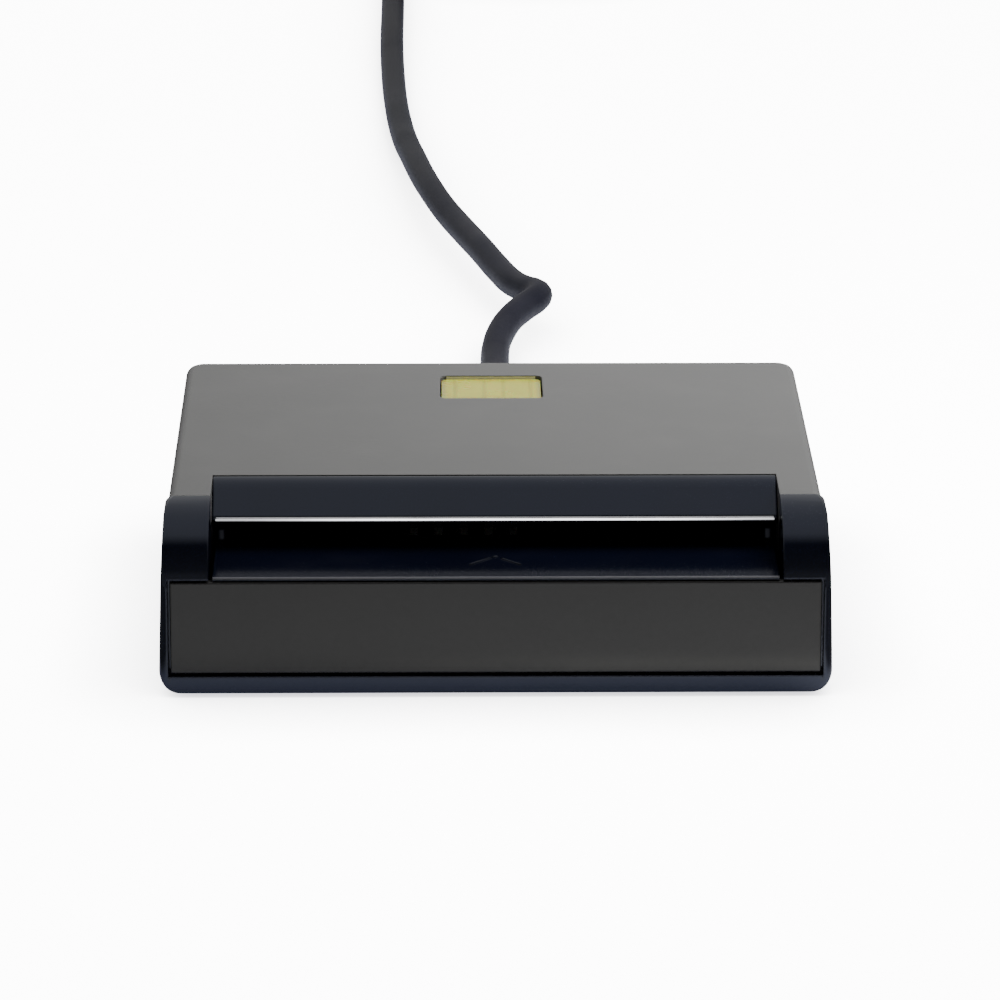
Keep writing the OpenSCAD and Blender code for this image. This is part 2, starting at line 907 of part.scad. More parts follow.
// Contact spring: a rolled root, a rising arm, the crest and the tip that curls down
module contact_spring(number) {
    row = number > row_count ? 1 : 0;
    i = (number - 1) % row_count;
    color(gold)
        in_row(row)
            translate([contact_x(i), 0, 0])
                union() {
                    rotate([0, 90, 0])
                        cylinder(r = root_r, h = contact_w, center = true);
                    across(contact_w)
                        strip([
                            [-contact_arm - tip_len, contact_rise - tip_drop],
                            [-contact_arm - crest_half, contact_rise],
                            [-contact_arm + crest_half, contact_rise],
                            [-contact_arm + crest_ease, contact_rise - crest_ease_drop],
                            [root_r / 2, -root_r / 4]
                        ], contact_t);
                }
}

module contact_c1() { contact_spring(1); }
module contact_c2() { contact_spring(2); }
module contact_c3() { contact_spring(3); }
module contact_c4() { contact_spring(4); }
module contact_c5() { contact_spring(5); }
module contact_c6() { contact_spring(6); }
module contact_c7() { contact_spring(7); }
module contact_c8() { contact_spring(8); }

// Solder tails: eight bent strips from the roots down to the board
module contact_tails() {
    foot_z = board_top - root_z + contact_t / 2;
    color(gold)
        for (row = [0, 1])
            in_row(row)
                for (i = [0 : row_count - 1])
                    translate([contact_x(i), 0, 0])
                        across(contact_w)
                            strip([
                                [tail_back + tail_foot, foot_z],
                                [tail_back, foot_z],
                                [tail_back, 0],
                                [root_r + root_gap, 0]
                            ], contact_t);
}

// Card switch: a body on the board with two ears that carry the lever's pin
module switch_base() {
    ear_in = lever_w / 2 + ear_gap;
    color(white_nylon)
        translate([switch_x, 0, 0])
            difference() {
                union() {
                    centred_span(ear_in + ear_t, [behind(switch_front), behind(switch_back)],
                        [board_top, board_top + switch_body_h]);
                    both_sides()
                        span([ear_in, behind(switch_pivot_back - 2 * lever_hub_r), board_top],
                            [ear_in + ear_t, behind(switch_pivot_back + 2 * lever_hub_r), ear_top]);
                }
                translate([0, behind(switch_pivot_back), switch_pivot_z])
                    rotate([0, 90, 0])
                        cylinder(r = lever_pin_r + running, h = body_w, center = true);
            }
}

// Lever that the card's edge pushes back, on its pin
module switch_lever() {
    color(gold)
        translate([switch_x, behind(switch_pivot_back), switch_pivot_z]) {
            rotate([0, 90, 0])
                cylinder(r = lever_hub_r, h = lever_w, center = true);
            rotate([0, 90, 0])
                cylinder(r = lever_pin_r, h = lever_w + 2 * (ear_gap + ear_t), center = true);
            across(lever_w)
                polygon([
                    [-lever_t / 2, 0],
                    [lever_t / 2, 0],
                    [lever_t / 2 - lever_lean, lever_top - switch_pivot_z],
                    [-lever_t / 2 - lever_lean, lever_top - switch_pivot_z]
                ]);
        }
}

// A block standing on the board, by its middle
module on_board(x, d, w, depth, h, lift = 0) {
    translate([x - w / 2, behind(d) - depth / 2, board_top + lift])
        cube([w, depth, h]);
}

// Controller: a square chip with leads on all four sides
module controller_chip() {
    color([0.06, 0.06, 0.07])
        union() {
            on_board(chip_x, chip_back, chip_size, chip_size, chip_h, chip_stand);
            translate([chip_x, behind(chip_back), 0])
                for (turn = [0 : 3])
                    rotate([0, 0, turn * 90])
                        for (i = [0 : leads_per_side - 1])
                            translate([(i - (leads_per_side - 1) / 2) * lead_pitch, 0, board_top])
                                span([-lead_w / 2, chip_size / 2 - lead_t, 0],
                                    [lead_w / 2, chip_size / 2 + lead_len, lead_t]);
            on_board(chip_x, chip_back, chip_size - lead_t, chip_size - lead_t, chip_stand + lead_t);
        }
}

// Crystal: a low metal can with a raised lid
module crystal() {
    color(steel)
        union() {
            on_board(crystal_x, crystal_back, crystal_w, crystal_d, crystal_h - crystal_lid_h);
            on_board(crystal_x, crystal_back, crystal_w - 2 * crystal_lid_inset,
                crystal_d - 2 * crystal_lid_inset, crystal_h);
        }
}

// Voltage regulator with its tab and three pins
module voltage_regulator() {
    color([0.07, 0.07, 0.08])
        union() {
            on_board(regulator_x, regulator_back, regulator_w, regulator_d, regulator_h);
            on_board(regulator_x, regulator_back + regulator_d / 2,
                regulator_w / 2, 2 * regulator_tab, lead_t);
            for (i = [-1 : 1])
                on_board(regulator_x + i * regulator_pin_pitch, regulator_back - regulator_d / 2,
                    regulator_pin_w, 2 * regulator_tab, lead_t);
        }
}

// Capacitors, one solid each
module capacitors() {
    color([0.6, 0.47, 0.32])
        for (place = capacitor_places)
            on_board(place[0], place[1], small_w, small_d, small_h);
}

// Resistors, one solid each
module resistors() {
    color([0.08, 0.08, 0.09])
        for (place = resistor_places)
            on_board(place[0], place[1], tiny_w, tiny_d, tiny_h);
}

module status_light_left() {
    color([0.85, 0.87, 0.75])
        on_board(-light_x, light_back, light_w, light_d, light_h);
}

module status_light_right() {
    color([0.87, 0.82, 0.75])
        on_board(light_x, light_back, light_w, light_d, light_h);
}

// Socket on the board, beside the notch and open towards it
module cord_header() {
    color(white_nylon)
        difference() {
            span([header_edge - header_w, behind(header_back), board_top],
                [header_edge, behind(header_back + header_d), board_top + header_h]);
            span([header_edge - header_w + header_wall, behind(header_back + header_wall),
                    board_top + header_wall],
                [header_edge + cut, behind(header_back + header_d - header_wall),
                    board_top + header_h - header_wall]);
        }
}

// A straight round wire between two points
module wire(from, to) {
    way = to - from;
    flat = norm([way[0], way[1]]);
    translate(from)
        rotate([0, atan2(flat, way[2]), atan2(way[1], way[0])])
            cylinder(r = wire_r, h = norm(way));
}

// Four wires that rise from the jacket's end through the notch into the socket
module cord_wires() {
    jacket_end = rear_inner - flange_inner_t - jacket_in;
    color([0.75, 0.2, 0.15])
        for (i = [0 : wire_count - 1])
            let (place = i - (wire_count - 1) / 2)
                wire([place * wire_spread, behind(jacket_end - 2 * wire_r), cord_z],
                    [header_edge - wire_in, behind(header_back + header_d / 2 - place * wire_pitch),
                        board_top + header_h / 2]);
}

// The jacket's end inside the body
module cord_inner_end() {
    color(jacket_black)
        translate([0, behind(rear_inner - flange_inner_t - running), cord_z])
            rotate([90, 0, 0])
                cylinder(r = cord_r, h = jacket_in);
}

// Strain relief: two flanges that grip the wall and a grooved sleeve that tapers to the lead
module strain_relief() {
    start = -wall - flange_inner_t - slip / 2;
    taper = (relief_r - relief_end_r) / relief_len;
    color(rubber)
        translate([0, behind(body_d), cord_z])
            rotate([-90, 0, 0])
                rotate_extrude()
                    difference() {
                        polygon([
                            [0, start],
                            [flange_inner_r, start],
                            [flange_inner_r, -wall - slip / 2],
                            [neck_r, -wall - slip / 2],
                            [neck_r, slip / 2],
                            [flange_r, slip / 2],
                            [flange_r, flange_outer_t],
                            [relief_r, flange_outer_t],
                            [relief_end_r, relief_len],
                            [0, relief_len]
                        ]);
                        for (i = [0 : relief_grooves - 1])
                            let (share = relief_first_share + i * relief_pitch_share,
                                at = relief_len * share + flange_outer_t / 2)
                                translate([relief_r - taper * at - relief_groove, at])
                                    square([relief_groove + cut, relief_len * relief_groove_share]);
                    }
}

// The unit direction of a route at each of its points
function route_ways(route) = [
    for (i = [0 : len(route) - 1])
        let (way = route[min(i + 1, len(route) - 1)] - route[max(i - 1, 0)])
        way / norm(way)
];

// The rings of a round tube along a route, each square to the route there
function tube_rings(route, ways, r, sides) = [
    for (i = [0 : len(route) - 1])
        let (side = cross(ways[i], [0, 0, 1]),
            right = side / norm(side),
            up = cross(right, ways[i]))
        for (k = [0 : sides - 1])
            let (a = (k + 1 / 2) * 360 / sides)
            route[i] + r * (cos(a) * right + sin(a) * up)
];

// The triangles that join the rings of a tube and close its ends
function tube_faces(rings, sides) = concat(
    [for (i = [0 : rings - 2]) for (k = [0 : sides - 1])
        [i * sides + k, i * sides + (k + 1) % sides, (i + 1) * sides + k]],
    [for (i = [0 : rings - 2]) for (k = [0 : sides - 1])
        [i * sides + (k + 1) % sides, (i + 1) * sides + (k + 1) % sides, (i + 1) * sides + k]],
    [for (k = [1 : sides - 2]) [0, k + 1, k]],
    [for (k = [1 : sides - 2])
        [(rings - 1) * sides, (rings - 1) * sides + k, (rings - 1) * sides + k + 1]]
);

// A closed tube along a route
module tube(route, ways, sides) {
    polyhedron(
        points = tube_rings(route, ways, cord_r, sides),
        faces = tube_faces(len(route), sides),
        convexity = 10
    );
}

// A route's ways with the first and the last laid straight along Y
function square_ends(ways) = concat([[0, 1, 0]], [for (i = [1 : len(ways) - 2]) ways[i]], [[0, 1, 0]]);

// The lead's free stretch from the strain relief to the coil
module usb_cord() {
    color(jacket_black)
        tube(cord_route, square_ends(route_ways(cord_route)), cord_sides);
}

// The stretch between the coil and the plug
module plug_lead() {
    color(jacket_black)
        tube(plug_route, square_ends(route_ways(plug_route)), cord_sides);
}

// The coil's line: how far out and how high it runs after so many turns
function coil_r(t) = coil_inner_r + coil_pitch * abs(t - coil_turns / 2);
function coil_climb(t) = min(max((t - coil_turns / 2) / climb_turns + 1 / 2, 0), 1);
function coil_point(t) = [
    coil_centre[0] - coil_r(t) * cos(360 * t),
    coil_centre[1] + coil_r(t) * sin(360 * t),
    coil_start[2] + coil_layer * coil_climb(t)
];
coil_steps = coil_turns * coil_rings;
coil_route = concat(
    [coil_start],
    [for (i = [1 : coil_steps - 1]) coil_point(i / coil_rings)],
    [plug_route[0]]
);

// The least gap between turns, from the middles of rings that lie over half a turn apart
coil_gap = min([
    for (i = [0 : coil_steps]) for (j = [i + coil_rings / 2 : coil_steps])
        if (j <= coil_steps) norm(coil_route[i] - coil_route[j]) - cord_d
]);
echo(coil_gap = coil_gap);

// The coil: its turns as one unbroken tube
module cord_coil() {
    color(jacket_black)
        tube(coil_route, square_ends(route_ways(coil_route)), coil_sides);
}

// Tie round the coil's turns, on the side away from the ends
module coil_tie() {
    low = coil_start[2] - cord_r - tie_gap;
    high = coil_start[2] + coil_layer + cord_r + tie_gap;
    near = coil_inner_r - cord_r - tie_gap;
    far = coil_outer_r + cord_r + tie_gap - coil_pitch / 2;
    color([0.09, 0.09, 0.1])
        translate([coil_centre[0], coil_centre[1] + tie_w / 2, 0])
            rotate([90, 0, 0])
                linear_extrude(height = tie_w)
                    difference() {
                        translate([near - tie_t, low - tie_t])
                            square([far - near + 2 * tie_t, high - low + 2 * tie_t]);
                        translate([near, low])
                            square([far - near, high - low]);
                    }
}

// The plug's grip section with four round edges
module grip_section(w, h, r) {
    difference() {
        square([w, h], center = true);
        for (sx = [-1, 1])
            for (sy = [-1, 1])
                translate([sx * (w / 2 - r), sy * (h / 2 - r)])
                    corner_waste(r, sx, sy);
    }
}

// Draws children in the plug's frame: +Y runs from the lead to the plug's mouth
module at_plug() {
    translate(plug_start)
        children();
}

// A section drawn out along Y between two places
module along(from, to) {
    translate([0, to, 0])
        rotate([90, 0, 0])
            linear_extrude(height = to - from)
                children();
}

// Plug grip: a moulded block with finger grooves and a tapered neck
module plug_grip() {
    color(rubber)
        at_plug()
            difference() {
                union() {
                    rotate([-90, 0, 0])
                        cylinder(r1 = relief_end_r, r2 = grip_neck_r, h = grip_neck_len + slip);
                    along(grip_neck_len, grip_neck_len + grip_len)
                        grip_section(grip_w, grip_t, grip_edge_r);
                }
                for (side = [0, 1])
                    mirror([0, 0, side])
                        for (i = [0 : grip_ribs - 1])
                            translate([0, grip_neck_len + grip_rib_start + i * grip_rib_pitch, 0])
                                span([-grip_w / 4, 0, grip_t / 2 - grip_rib_depth],
                                    [grip_w / 4, grip_rib_w, grip_t]);
            }
}

// Plug shell: a folded steel sleeve with two latch holes on each face
module plug_shell() {
    start = grip_neck_len + grip_len;
    color(steel)
        at_plug()
            difference() {
                along(start, start + shell_len)
                    difference() {
                        square([shell_w, shell_h], center = true);
                        square([shell_w - 2 * shell_t, shell_h - 2 * shell_t], center = true);
                    }
                for (side = [-1, 1])
                    translate([side * latch_x, start + latch_back, 0])
                        span([-latch / 2, 0, -shell_h], [latch / 2, latch, shell_h]);
            }
}

// Insulator: the tongue in the lower half of the sleeve
module plug_insulator() {
    start = grip_neck_len + grip_len;
    low = -shell_h / 2 + shell_t;
    color([0.92, 0.92, 0.9])
        at_plug()
            span([-shell_w / 2 + shell_t + running, start, low + running],
                [shell_w / 2 - shell_t - running, start + shell_len - insulator_end_gap, low + insulator_t]);
}

// Four flat contacts on the tongue, the outer pair longer
module plug_contacts() {
    start = grip_neck_len + grip_len;
    top = -shell_h / 2 + shell_t + insulator_t;
    tip = start + shell_len - insulator_end_gap - plug_contact_w;
    color(gold)
        at_plug()
            for (place = [[plug_contact_inner_x, plug_contact_len],
                    [plug_contact_outer_x, plug_contact_len + plug_contact_w]])
                both_sides()
                    span([place[0] - plug_contact_w / 2, tip - place[1], top],
                        [place[0] + plug_contact_w / 2, tip, top + plug_contact_t]);
}

// A screw along Z by its head's seat, the head under or over it
module screw(x, d, seat, head_h, len, way) {
    translate([x, behind(d), seat])
        mirror([0, 0, way > 0 ? 0 : 1]) {
            cylinder(r = screw_r, h = len);
            translate([0, 0, -head_h])
                cylinder(r = head_r, h = head_h);
        }
}

// Four screws that draw the cover down
module case_screws() {
    color(steel)
        both_sides()
            for (d = [boss_front, boss_rear])
                screw(boss_x, d, base_z + head_depth, head_t, screw_len, 1);
}

// Two screws that hold the board down
module board_screws() {
    color(steel)
        both_sides()
            screw(post_x, post_rear, board_top, board_head_t, board_t + board_screw_len - slip, -1);
}

// Four rubber feet in their seats
module rubber_feet() {
    color(rubber)
        both_sides()
            for (d = [foot_front, foot_rear])
                post(foot_x_share * half_w, d, foot_r, 0, base_z + foot_sink);
}

bottom_shell();
top_cover();
front_frame();
front_panel();
slot_hood();
hood_trim();
card_tray();
card_bridge();
light_window();
main_board();
connector_frame();
contact_c1();
contact_c2();
contact_c3();
contact_c4();
contact_c5();
contact_c6();
contact_c7();
contact_c8();
contact_tails();
switch_base();
switch_lever();
controller_chip();
crystal();
voltage_regulator();
capacitors();
resistors();
status_light_left();
status_light_right();
cord_header();
cord_wires();
cord_inner_end();
strain_relief();
usb_cord();
cord_coil();
plug_lead();
coil_tie();
plug_grip();
plug_shell();
plug_insulator();
plug_contacts();
case_screws();
board_screws();
rubber_feet();
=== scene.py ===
# %% [markdown]
# A smart card reader, dressed in Blender. The construction model already gives each piece its
# true size and place. Here the pieces get the finish of the real ones: eased edges, moulded
# plastic, paint, metal, a lead with its relief, and the light that they are seen in.
# All lengths are in metres; MM turns a millimetre into one.

# %% Load the frame
import json
import math

import bpy
from mathutils import Matrix, Vector

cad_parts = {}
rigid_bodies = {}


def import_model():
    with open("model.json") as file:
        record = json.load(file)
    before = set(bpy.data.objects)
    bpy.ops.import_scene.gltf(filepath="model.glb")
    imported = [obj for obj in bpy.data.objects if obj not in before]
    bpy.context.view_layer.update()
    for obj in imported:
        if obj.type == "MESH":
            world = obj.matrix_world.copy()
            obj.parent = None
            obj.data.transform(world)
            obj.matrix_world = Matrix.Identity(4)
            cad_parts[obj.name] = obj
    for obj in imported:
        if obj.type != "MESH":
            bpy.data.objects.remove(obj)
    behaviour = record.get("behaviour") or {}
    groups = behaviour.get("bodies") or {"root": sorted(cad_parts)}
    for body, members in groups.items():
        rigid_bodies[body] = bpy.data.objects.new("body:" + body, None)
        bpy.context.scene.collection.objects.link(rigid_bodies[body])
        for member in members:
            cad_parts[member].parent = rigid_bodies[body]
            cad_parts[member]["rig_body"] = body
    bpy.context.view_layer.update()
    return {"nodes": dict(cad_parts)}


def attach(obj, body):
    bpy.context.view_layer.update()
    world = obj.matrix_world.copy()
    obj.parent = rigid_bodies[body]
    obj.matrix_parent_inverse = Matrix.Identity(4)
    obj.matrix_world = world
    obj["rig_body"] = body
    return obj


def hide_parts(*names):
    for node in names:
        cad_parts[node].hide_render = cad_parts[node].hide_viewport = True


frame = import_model()
MM = 0.001
print("nodes in the frame:", len(frame["nodes"]))

# %% [markdown]
# The camera stands half a metre in front and looks down a little, through a long lens. Its
# place was solved once from the corners of the body, so it is written here as plain numbers.
# A matrix made from its three directions turns it exactly, with no target object.

# %% Camera
LENS = 193.79
SENSOR = 36
CAMERA_PLACE = Vector((-6.279, -527.714, 188.223)) * MM
CAMERA_RIGHT = Vector((0.999918, -0.012710, 0.001655))
CAMERA_UP = Vector((0.002464, 0.317299, 0.948322))
NEAREST = 10 * MM
FARTHEST = 50


def add_object(name, data):
    piece = bpy.data.objects.new(name, data)
    bpy.context.scene.collection.objects.link(piece)
    return piece


def add_camera():
    data = bpy.data.cameras.new("camera")
    data.lens = LENS
    data.sensor_width = SENSOR
    data.clip_start = NEAREST
    data.clip_end = FARTHEST
    camera = add_object("camera", data)
    backward = CAMERA_RIGHT.cross(CAMERA_UP)
    turn = Matrix((CAMERA_RIGHT, CAMERA_UP, backward)).transposed()
    camera.matrix_world = Matrix.Translation(CAMERA_PLACE) @ turn.to_4x4()
    bpy.context.scene.camera = camera
    return camera


print("camera at", tuple(round(v, 3) for v in add_camera().location))

# %% [markdown]
# The lead is a fixed length of thin soft cable. It leaves the rear wall, comes down to the
# table within a few centimetres, keeps one bend from its packing, and runs straight back. The
# rest is wound in five turns under a tie, with the plug beside it. One open spline carries
# the whole lead, so its length can be measured, and its points are those of the CAD model.

# %% Route of the lead
LEAD_D = 3.4 * MM
FREE_ROUTE = [
    (0, 37, 5), (0, 41, 5), (0, 50, 4.2), (0.3, 60, 2.8), (0.7, 70, 2),
    (1.1, 78, 2.1), (1.3, 84, 2.6), (1.9, 88, 3.1), (3.1, 91.8, 3.8), (4.8, 95.1, 4.3),
    (6.5, 97.9, 4.7), (6.5, 100.4, 4.6), (5.2, 102.9, 4.3), (3.7, 106, 4.2), (2, 112, 4.2),
    (-0.1, 120.4, 4.4), (-2.4, 129.4, 4.5), (-4.4, 138, 4.5), (-6.1, 147.8, 4.3),
    (-7.5, 158, 3.9), (-8.7, 169, 3.4), (-9.7, 179, 2.8), (-10.5, 190, 2.3),
    (-11.2, 204, 1.9), (-11.7, 220, 1.8), (-12, 238, 2.1), (-12, 256, 2.4),
    (-12, 274, 2.6), (-12, 290, 2.6), (-12, 301, 2.6),
]
COIL_START = (-12, 305, 2.6)
PLUG_ROUTE = [
    (-12, 305, 6.6), (-12, 309, 6.6), (-12, 316, 6.2), (-12, 324, 5.2), (-12, 332, 4.4),
    (-12, 338, 4.2), (-12, 342, 4.2),
]
COIL_TURNS = 5
COIL_STEPS = 24
COIL_INNER_R = 12.4
COIL_PITCH = 4
COIL_LAYER = 4
CLIMB_TURNS = 0.5
COIL_OUTER_R = COIL_INNER_R + COIL_PITCH * COIL_TURNS / 2
COIL_CENTRE = (COIL_START[0] + COIL_OUTER_R, COIL_START[1])


def coil_point(turns):
    radius = COIL_INNER_R + COIL_PITCH * abs(turns - COIL_TURNS / 2)
    climb = min(max((turns - COIL_TURNS / 2) / CLIMB_TURNS + 1 / 2, 0), 1)
    angle = 2 * math.pi * turns
    return (
        COIL_CENTRE[0] - radius * math.cos(angle),
        COIL_CENTRE[1] + radius * math.sin(angle),
        COIL_START[2] + COIL_LAYER * climb,
    )


coil_route = [coil_point(i / COIL_STEPS) for i in range(1, COIL_TURNS * COIL_STEPS)]
lead_route = [Vector(p) * MM for p in FREE_ROUTE + [COIL_START] + coil_route + PLUG_ROUTE]

# %% [markdown]
# The tube's thickness is given at each point of the spline, as that point's radius times a
# bevel of one metre, so the curve's outer box is as tight as the lead itself.

# %% Lead as one spline
UNIT_BEVEL = 1
LEAD_SIDES = 5
LEAD_SMOOTH = 4


def add_lead():
    curve = bpy.data.curves.new("lead", "CURVE")
    curve.dimensions = "3D"
    curve.bevel_depth = UNIT_BEVEL
    curve.bevel_resolution = LEAD_SIDES
    curve.resolution_u = LEAD_SMOOTH
    curve.use_fill_caps = True
    spline = curve.splines.new("BEZIER")
    spline.bezier_points.add(len(lead_route) - 1)
    for point, place in zip(spline.bezier_points, lead_route):
        point.co = place
        point.radius = LEAD_D / 2
        point.handle_left_type = point.handle_right_type = "AUTO"
    return add_object("lead", curve)


lead = add_lead()

# %% [markdown]
# Working as by hand means that operators act on what is selected. These few helpers deselect
# everything, pick one object, and select faces by their place. A modifier is added, set and
# applied at once, so what stays is plain mesh.


# %% Hand tools
SMOOTH_ANGLE = math.radians(35)
MERGE = 0.002 * MM
finished = {}


def only(piece):
    bpy.ops.object.select_all(action="DESELECT")
    piece.select_set(True)
    bpy.context.view_layer.objects.active = piece


def enter(piece, action="DESELECT"):
    only(piece)
    bpy.ops.object.mode_set(mode="EDIT")
    bpy.ops.mesh.select_mode(type="FACE")
    bpy.ops.mesh.select_all(action=action)


def leave():
    bpy.ops.object.mode_set(mode="OBJECT")


def add_modifier(piece, kind, **settings):
    only(piece)
    bpy.ops.object.modifier_add(type=kind)
    modifier = piece.modifiers[-1]
    for name, value in settings.items():
        setattr(modifier, name, value)
    bpy.ops.object.modifier_apply(modifier=modifier.name)


def select_faces(piece, wanted):
    """Select the faces whose centre and normal pass a test, in edit mode."""
    leave()
    for face in piece.data.polygons:
        face.select = bool(wanted(face.center, face.normal))
    bpy.ops.object.mode_set(mode="EDIT")


def freeze(piece, place=False, turn=False, size=False):
    only(piece)
    bpy.ops.object.transform_apply(location=place, rotation=turn, scale=size)


def settle(piece):
    """Put an object's place into its mesh, with its normals outward and its curves smooth."""
    freeze(piece, place=True, turn=True, size=True)
    enter(piece, "SELECT")
    bpy.ops.mesh.remove_doubles(threshold=MERGE)
    bpy.ops.mesh.normals_make_consistent(inside=False)
    leave()
    bpy.ops.object.shade_smooth_by_angle(angle=SMOOTH_ANGLE)


def copy_to(piece, name, offset):
    """A second piece with a mesh of its own, moved by an offset."""
    twin = add_object(name, piece.data.copy())
    twin.location = offset
    freeze(twin, place=True)
    return twin


def repeat(first, stem, steps):
    """The first piece and, for each later step in millimetres, a numbered copy."""
    return [first] + [
        copy_to(first, f"{stem}_{i}", Vector((x, y, 0)) * MM)
        for i, (x, y) in enumerate(steps[1:], start=2)
    ]


def hand_over(piece, slot, nodes=(), body="reader"):
    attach(piece, body)
    if nodes:
        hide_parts(*nodes)
    finished[piece.name] = (piece, slot)


# %% [markdown]
# Every solid comes from the CAD model with edges as sharp as a drawing's. Nothing moulded or
# stamped is that sharp, and without a small radius no edge catches the light. So each node's
# mesh is copied, its loose triangles are merged, flat faces are joined, and a fine bevel
# rounds what is left. Weighted normals keep the flats flat beside the new radii. The hood's
# copy is also made a quarter of a millimetre wider on each side, because in the photograph
# the joints at its ends are hairlines, and the drawing leaves room there for fitting.

# %% Eased copies of the CAD nodes
JOIN_ANGLE = math.radians(0.6)


def ease_edges(node, radius):
    source = frame["nodes"][node]
    piece = add_object(node + "_eased", source.data.copy())
    enter(piece, "SELECT")
    bpy.ops.mesh.remove_doubles(threshold=MERGE)
    bpy.ops.mesh.dissolve_limited(angle_limit=JOIN_ANGLE)
    leave()
    add_modifier(
        piece, "BEVEL", width=radius * MM, segments=2, limit_method="ANGLE",
        angle_limit=SMOOTH_ANGLE, use_clamp_overlap=True, miter_outer="MITER_ARC")
    only(piece)
    bpy.ops.object.shade_smooth_by_angle(angle=SMOOTH_ANGLE)
    add_modifier(piece, "WEIGHTED_NORMAL", keep_sharp=True)
    hand_over(piece, source.data.materials[0].name, [node], source["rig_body"])
    return piece


EDGE_RADII = {
    "top_cover": 0.12, "front_frame": 0.22, "front_panel": 0.1, "slot_hood": 0.12,
    "hood_trim": 0.085, "card_tray": 0.1, "bottom_shell": 0.12, "light_window": 0.1,
    "card_bridge": 0.1, "main_board": 0.06, "connector_frame": 0.06, "contact_tails": 0.03,
    "switch_base": 0.08, "switch_lever": 0.04, "controller_chip": 0.04, "crystal": 0.12,
    "voltage_regulator": 0.05, "capacitors": 0.05, "resistors": 0.03,
    "status_light_left": 0.06, "status_light_right": 0.06, "cord_header": 0.06,
    "cord_wires": 0.02, "cord_inner_end": 0.12, "strain_relief": 0.08, "coil_tie": 0.08,
    "plug_grip": 0.15, "plug_shell": 0.05, "plug_insulator": 0.08, "plug_contacts": 0.03,
}
EDGE_RADII |= {f"contact_c{i}": 0.03 for i in range(1, 9)}
HOOD_FIT = 1.009
for node, radius in EDGE_RADII.items():
    piece = ease_edges(node, radius)
    if node == "slot_hood":
        piece.scale.x = HOOD_FIT
        freeze(piece, size=True)
    print(node, "has", len(piece.data.polygons), "faces")

# %% [markdown]
# Round pieces are turned as on a lathe: a filled circle is the first section, and each next
# section is extruded up from it and scaled about the axis. The list of radius and height
# pairs is the profile that a drawing of the piece would show.


# %% Turning tool
def turned(name, profile, place, sides):
    radius, height = profile[0]
    at = Vector(place)
    bpy.ops.mesh.primitive_circle_add(
        vertices=sides, radius=radius, fill_type="NGON", location=at + Vector((0, 0, height)))
    piece = bpy.context.object
    piece.name = name
    enter(piece, "SELECT")
    for next_radius, next_height in profile[1:]:
        bpy.ops.mesh.extrude_region_move(
            TRANSFORM_OT_translate={"value": (0, 0, next_height - height)})
        if next_radius != radius:
            share = next_radius / radius
            centre = (at.x, at.y, at.z + next_height)
            bpy.ops.transform.resize(value=(share, share, 1), center_override=centre)
        radius, height = next_radius, next_height
    leave()
    settle(piece)
    return piece


# %% [markdown]
# The body is held by four pan head screws from below, and the board by two more. A real one
# is rolled from wire: a domed head, a cross recess struck into it, and a thread that cuts its
# own way into plastic. The thread is shown as close ridges, because its pitch is too small
# for the eye to follow a helix, and the recess is cut by two crossed wedges.

# %% Screws
HEAD_R = 1.5 * MM
SHANK_R = 0.8 * MM
ROOT_R = 0.62 * MM
THREAD_PITCH = 0.55 * MM
DOME_SHARE = 0.62
EDGE_SHARE = 0.86
EDGE_DROP = 0.22
SIDE_DROP = 0.6
RECESS_WIDE = 1.7 * MM
RECESS_THIN = 0.34 * MM
RECESS_DEEP = 0.55 * MM
RECESS_TAPER = 0.55
SCREW_SIDES = 28


def screw_profile(head_height, length):
    """Sections from the top of the head down to the tip; heights fall below zero."""
    seat = -head_height
    sections = [
        (HEAD_R * DOME_SHARE, 0), (HEAD_R * EDGE_SHARE, seat * EDGE_DROP),
        (HEAD_R, seat * SIDE_DROP), (HEAD_R, seat), (SHANK_R, seat - MERGE),
    ]
    ridges = int(length / THREAD_PITCH) - 1
    for i in range(ridges):
        top = seat - (i + 1 / 2) * THREAD_PITCH
        sections += [(ROOT_R, top), (SHANK_R, top - THREAD_PITCH / 2)]
    return sections + [(ROOT_R / 2, seat - length)]


def cut_recess(piece):
    for width, depth in ((RECESS_WIDE, RECESS_THIN), (RECESS_THIN, RECESS_WIDE)):
        bpy.ops.mesh.primitive_cube_add(size=1)
        wedge = bpy.context.object
        wedge.scale = (width, depth, 2 * RECESS_DEEP)
        freeze(wedge, size=True)
        enter(wedge)
        select_faces(wedge, lambda centre, normal: normal.z < -1 / 2)
        bpy.ops.transform.resize(value=(RECESS_TAPER, RECESS_TAPER, 1))
        leave()
        add_modifier(piece, "BOOLEAN", object=wedge, operation="DIFFERENCE", solver="EXACT")
        bpy.data.objects.remove(wedge)


def make_screw(name, top, head_height, length, downward):
    """A screw with the top of its head at a point; downward says where its tip goes."""
    screw = turned(name, screw_profile(head_height, length), (0, 0, 0), SCREW_SIDES)
    cut_recess(screw)
    if not downward:
        screw.rotation_euler.x = math.pi
    screw.location = top
    settle(screw)
    return screw


CASE_SCREW_TOP = Vector((-29.75, -14.6, 1.7)) * MM
CASE_SCREW_STEPS = [(0, 0), (59.5, 0), (0, 36.6), (59.5, 36.6)]
CASE_HEAD_H = 1.2 * MM
CASE_SCREW_LEN = 9 * MM
BOARD_SCREW_TOP = Vector((-21.6, 20.2, 9.5)) * MM
BOARD_SCREW_STEPS = [(0, 0), (43.2, 0)]
BOARD_HEAD_H = 0.9 * MM
BOARD_SCREW_LEN = 5.9 * MM


def place_screws(name, top, steps, head_height, length, downward):
    first = make_screw(name + "_1", top, head_height, length, downward)
    pieces = repeat(first, name, steps)
    for piece in pieces:
        hand_over(piece, "screw_steel", [name + "s"])
    print(name, len(pieces), "pieces of", len(first.data.polygons), "faces")


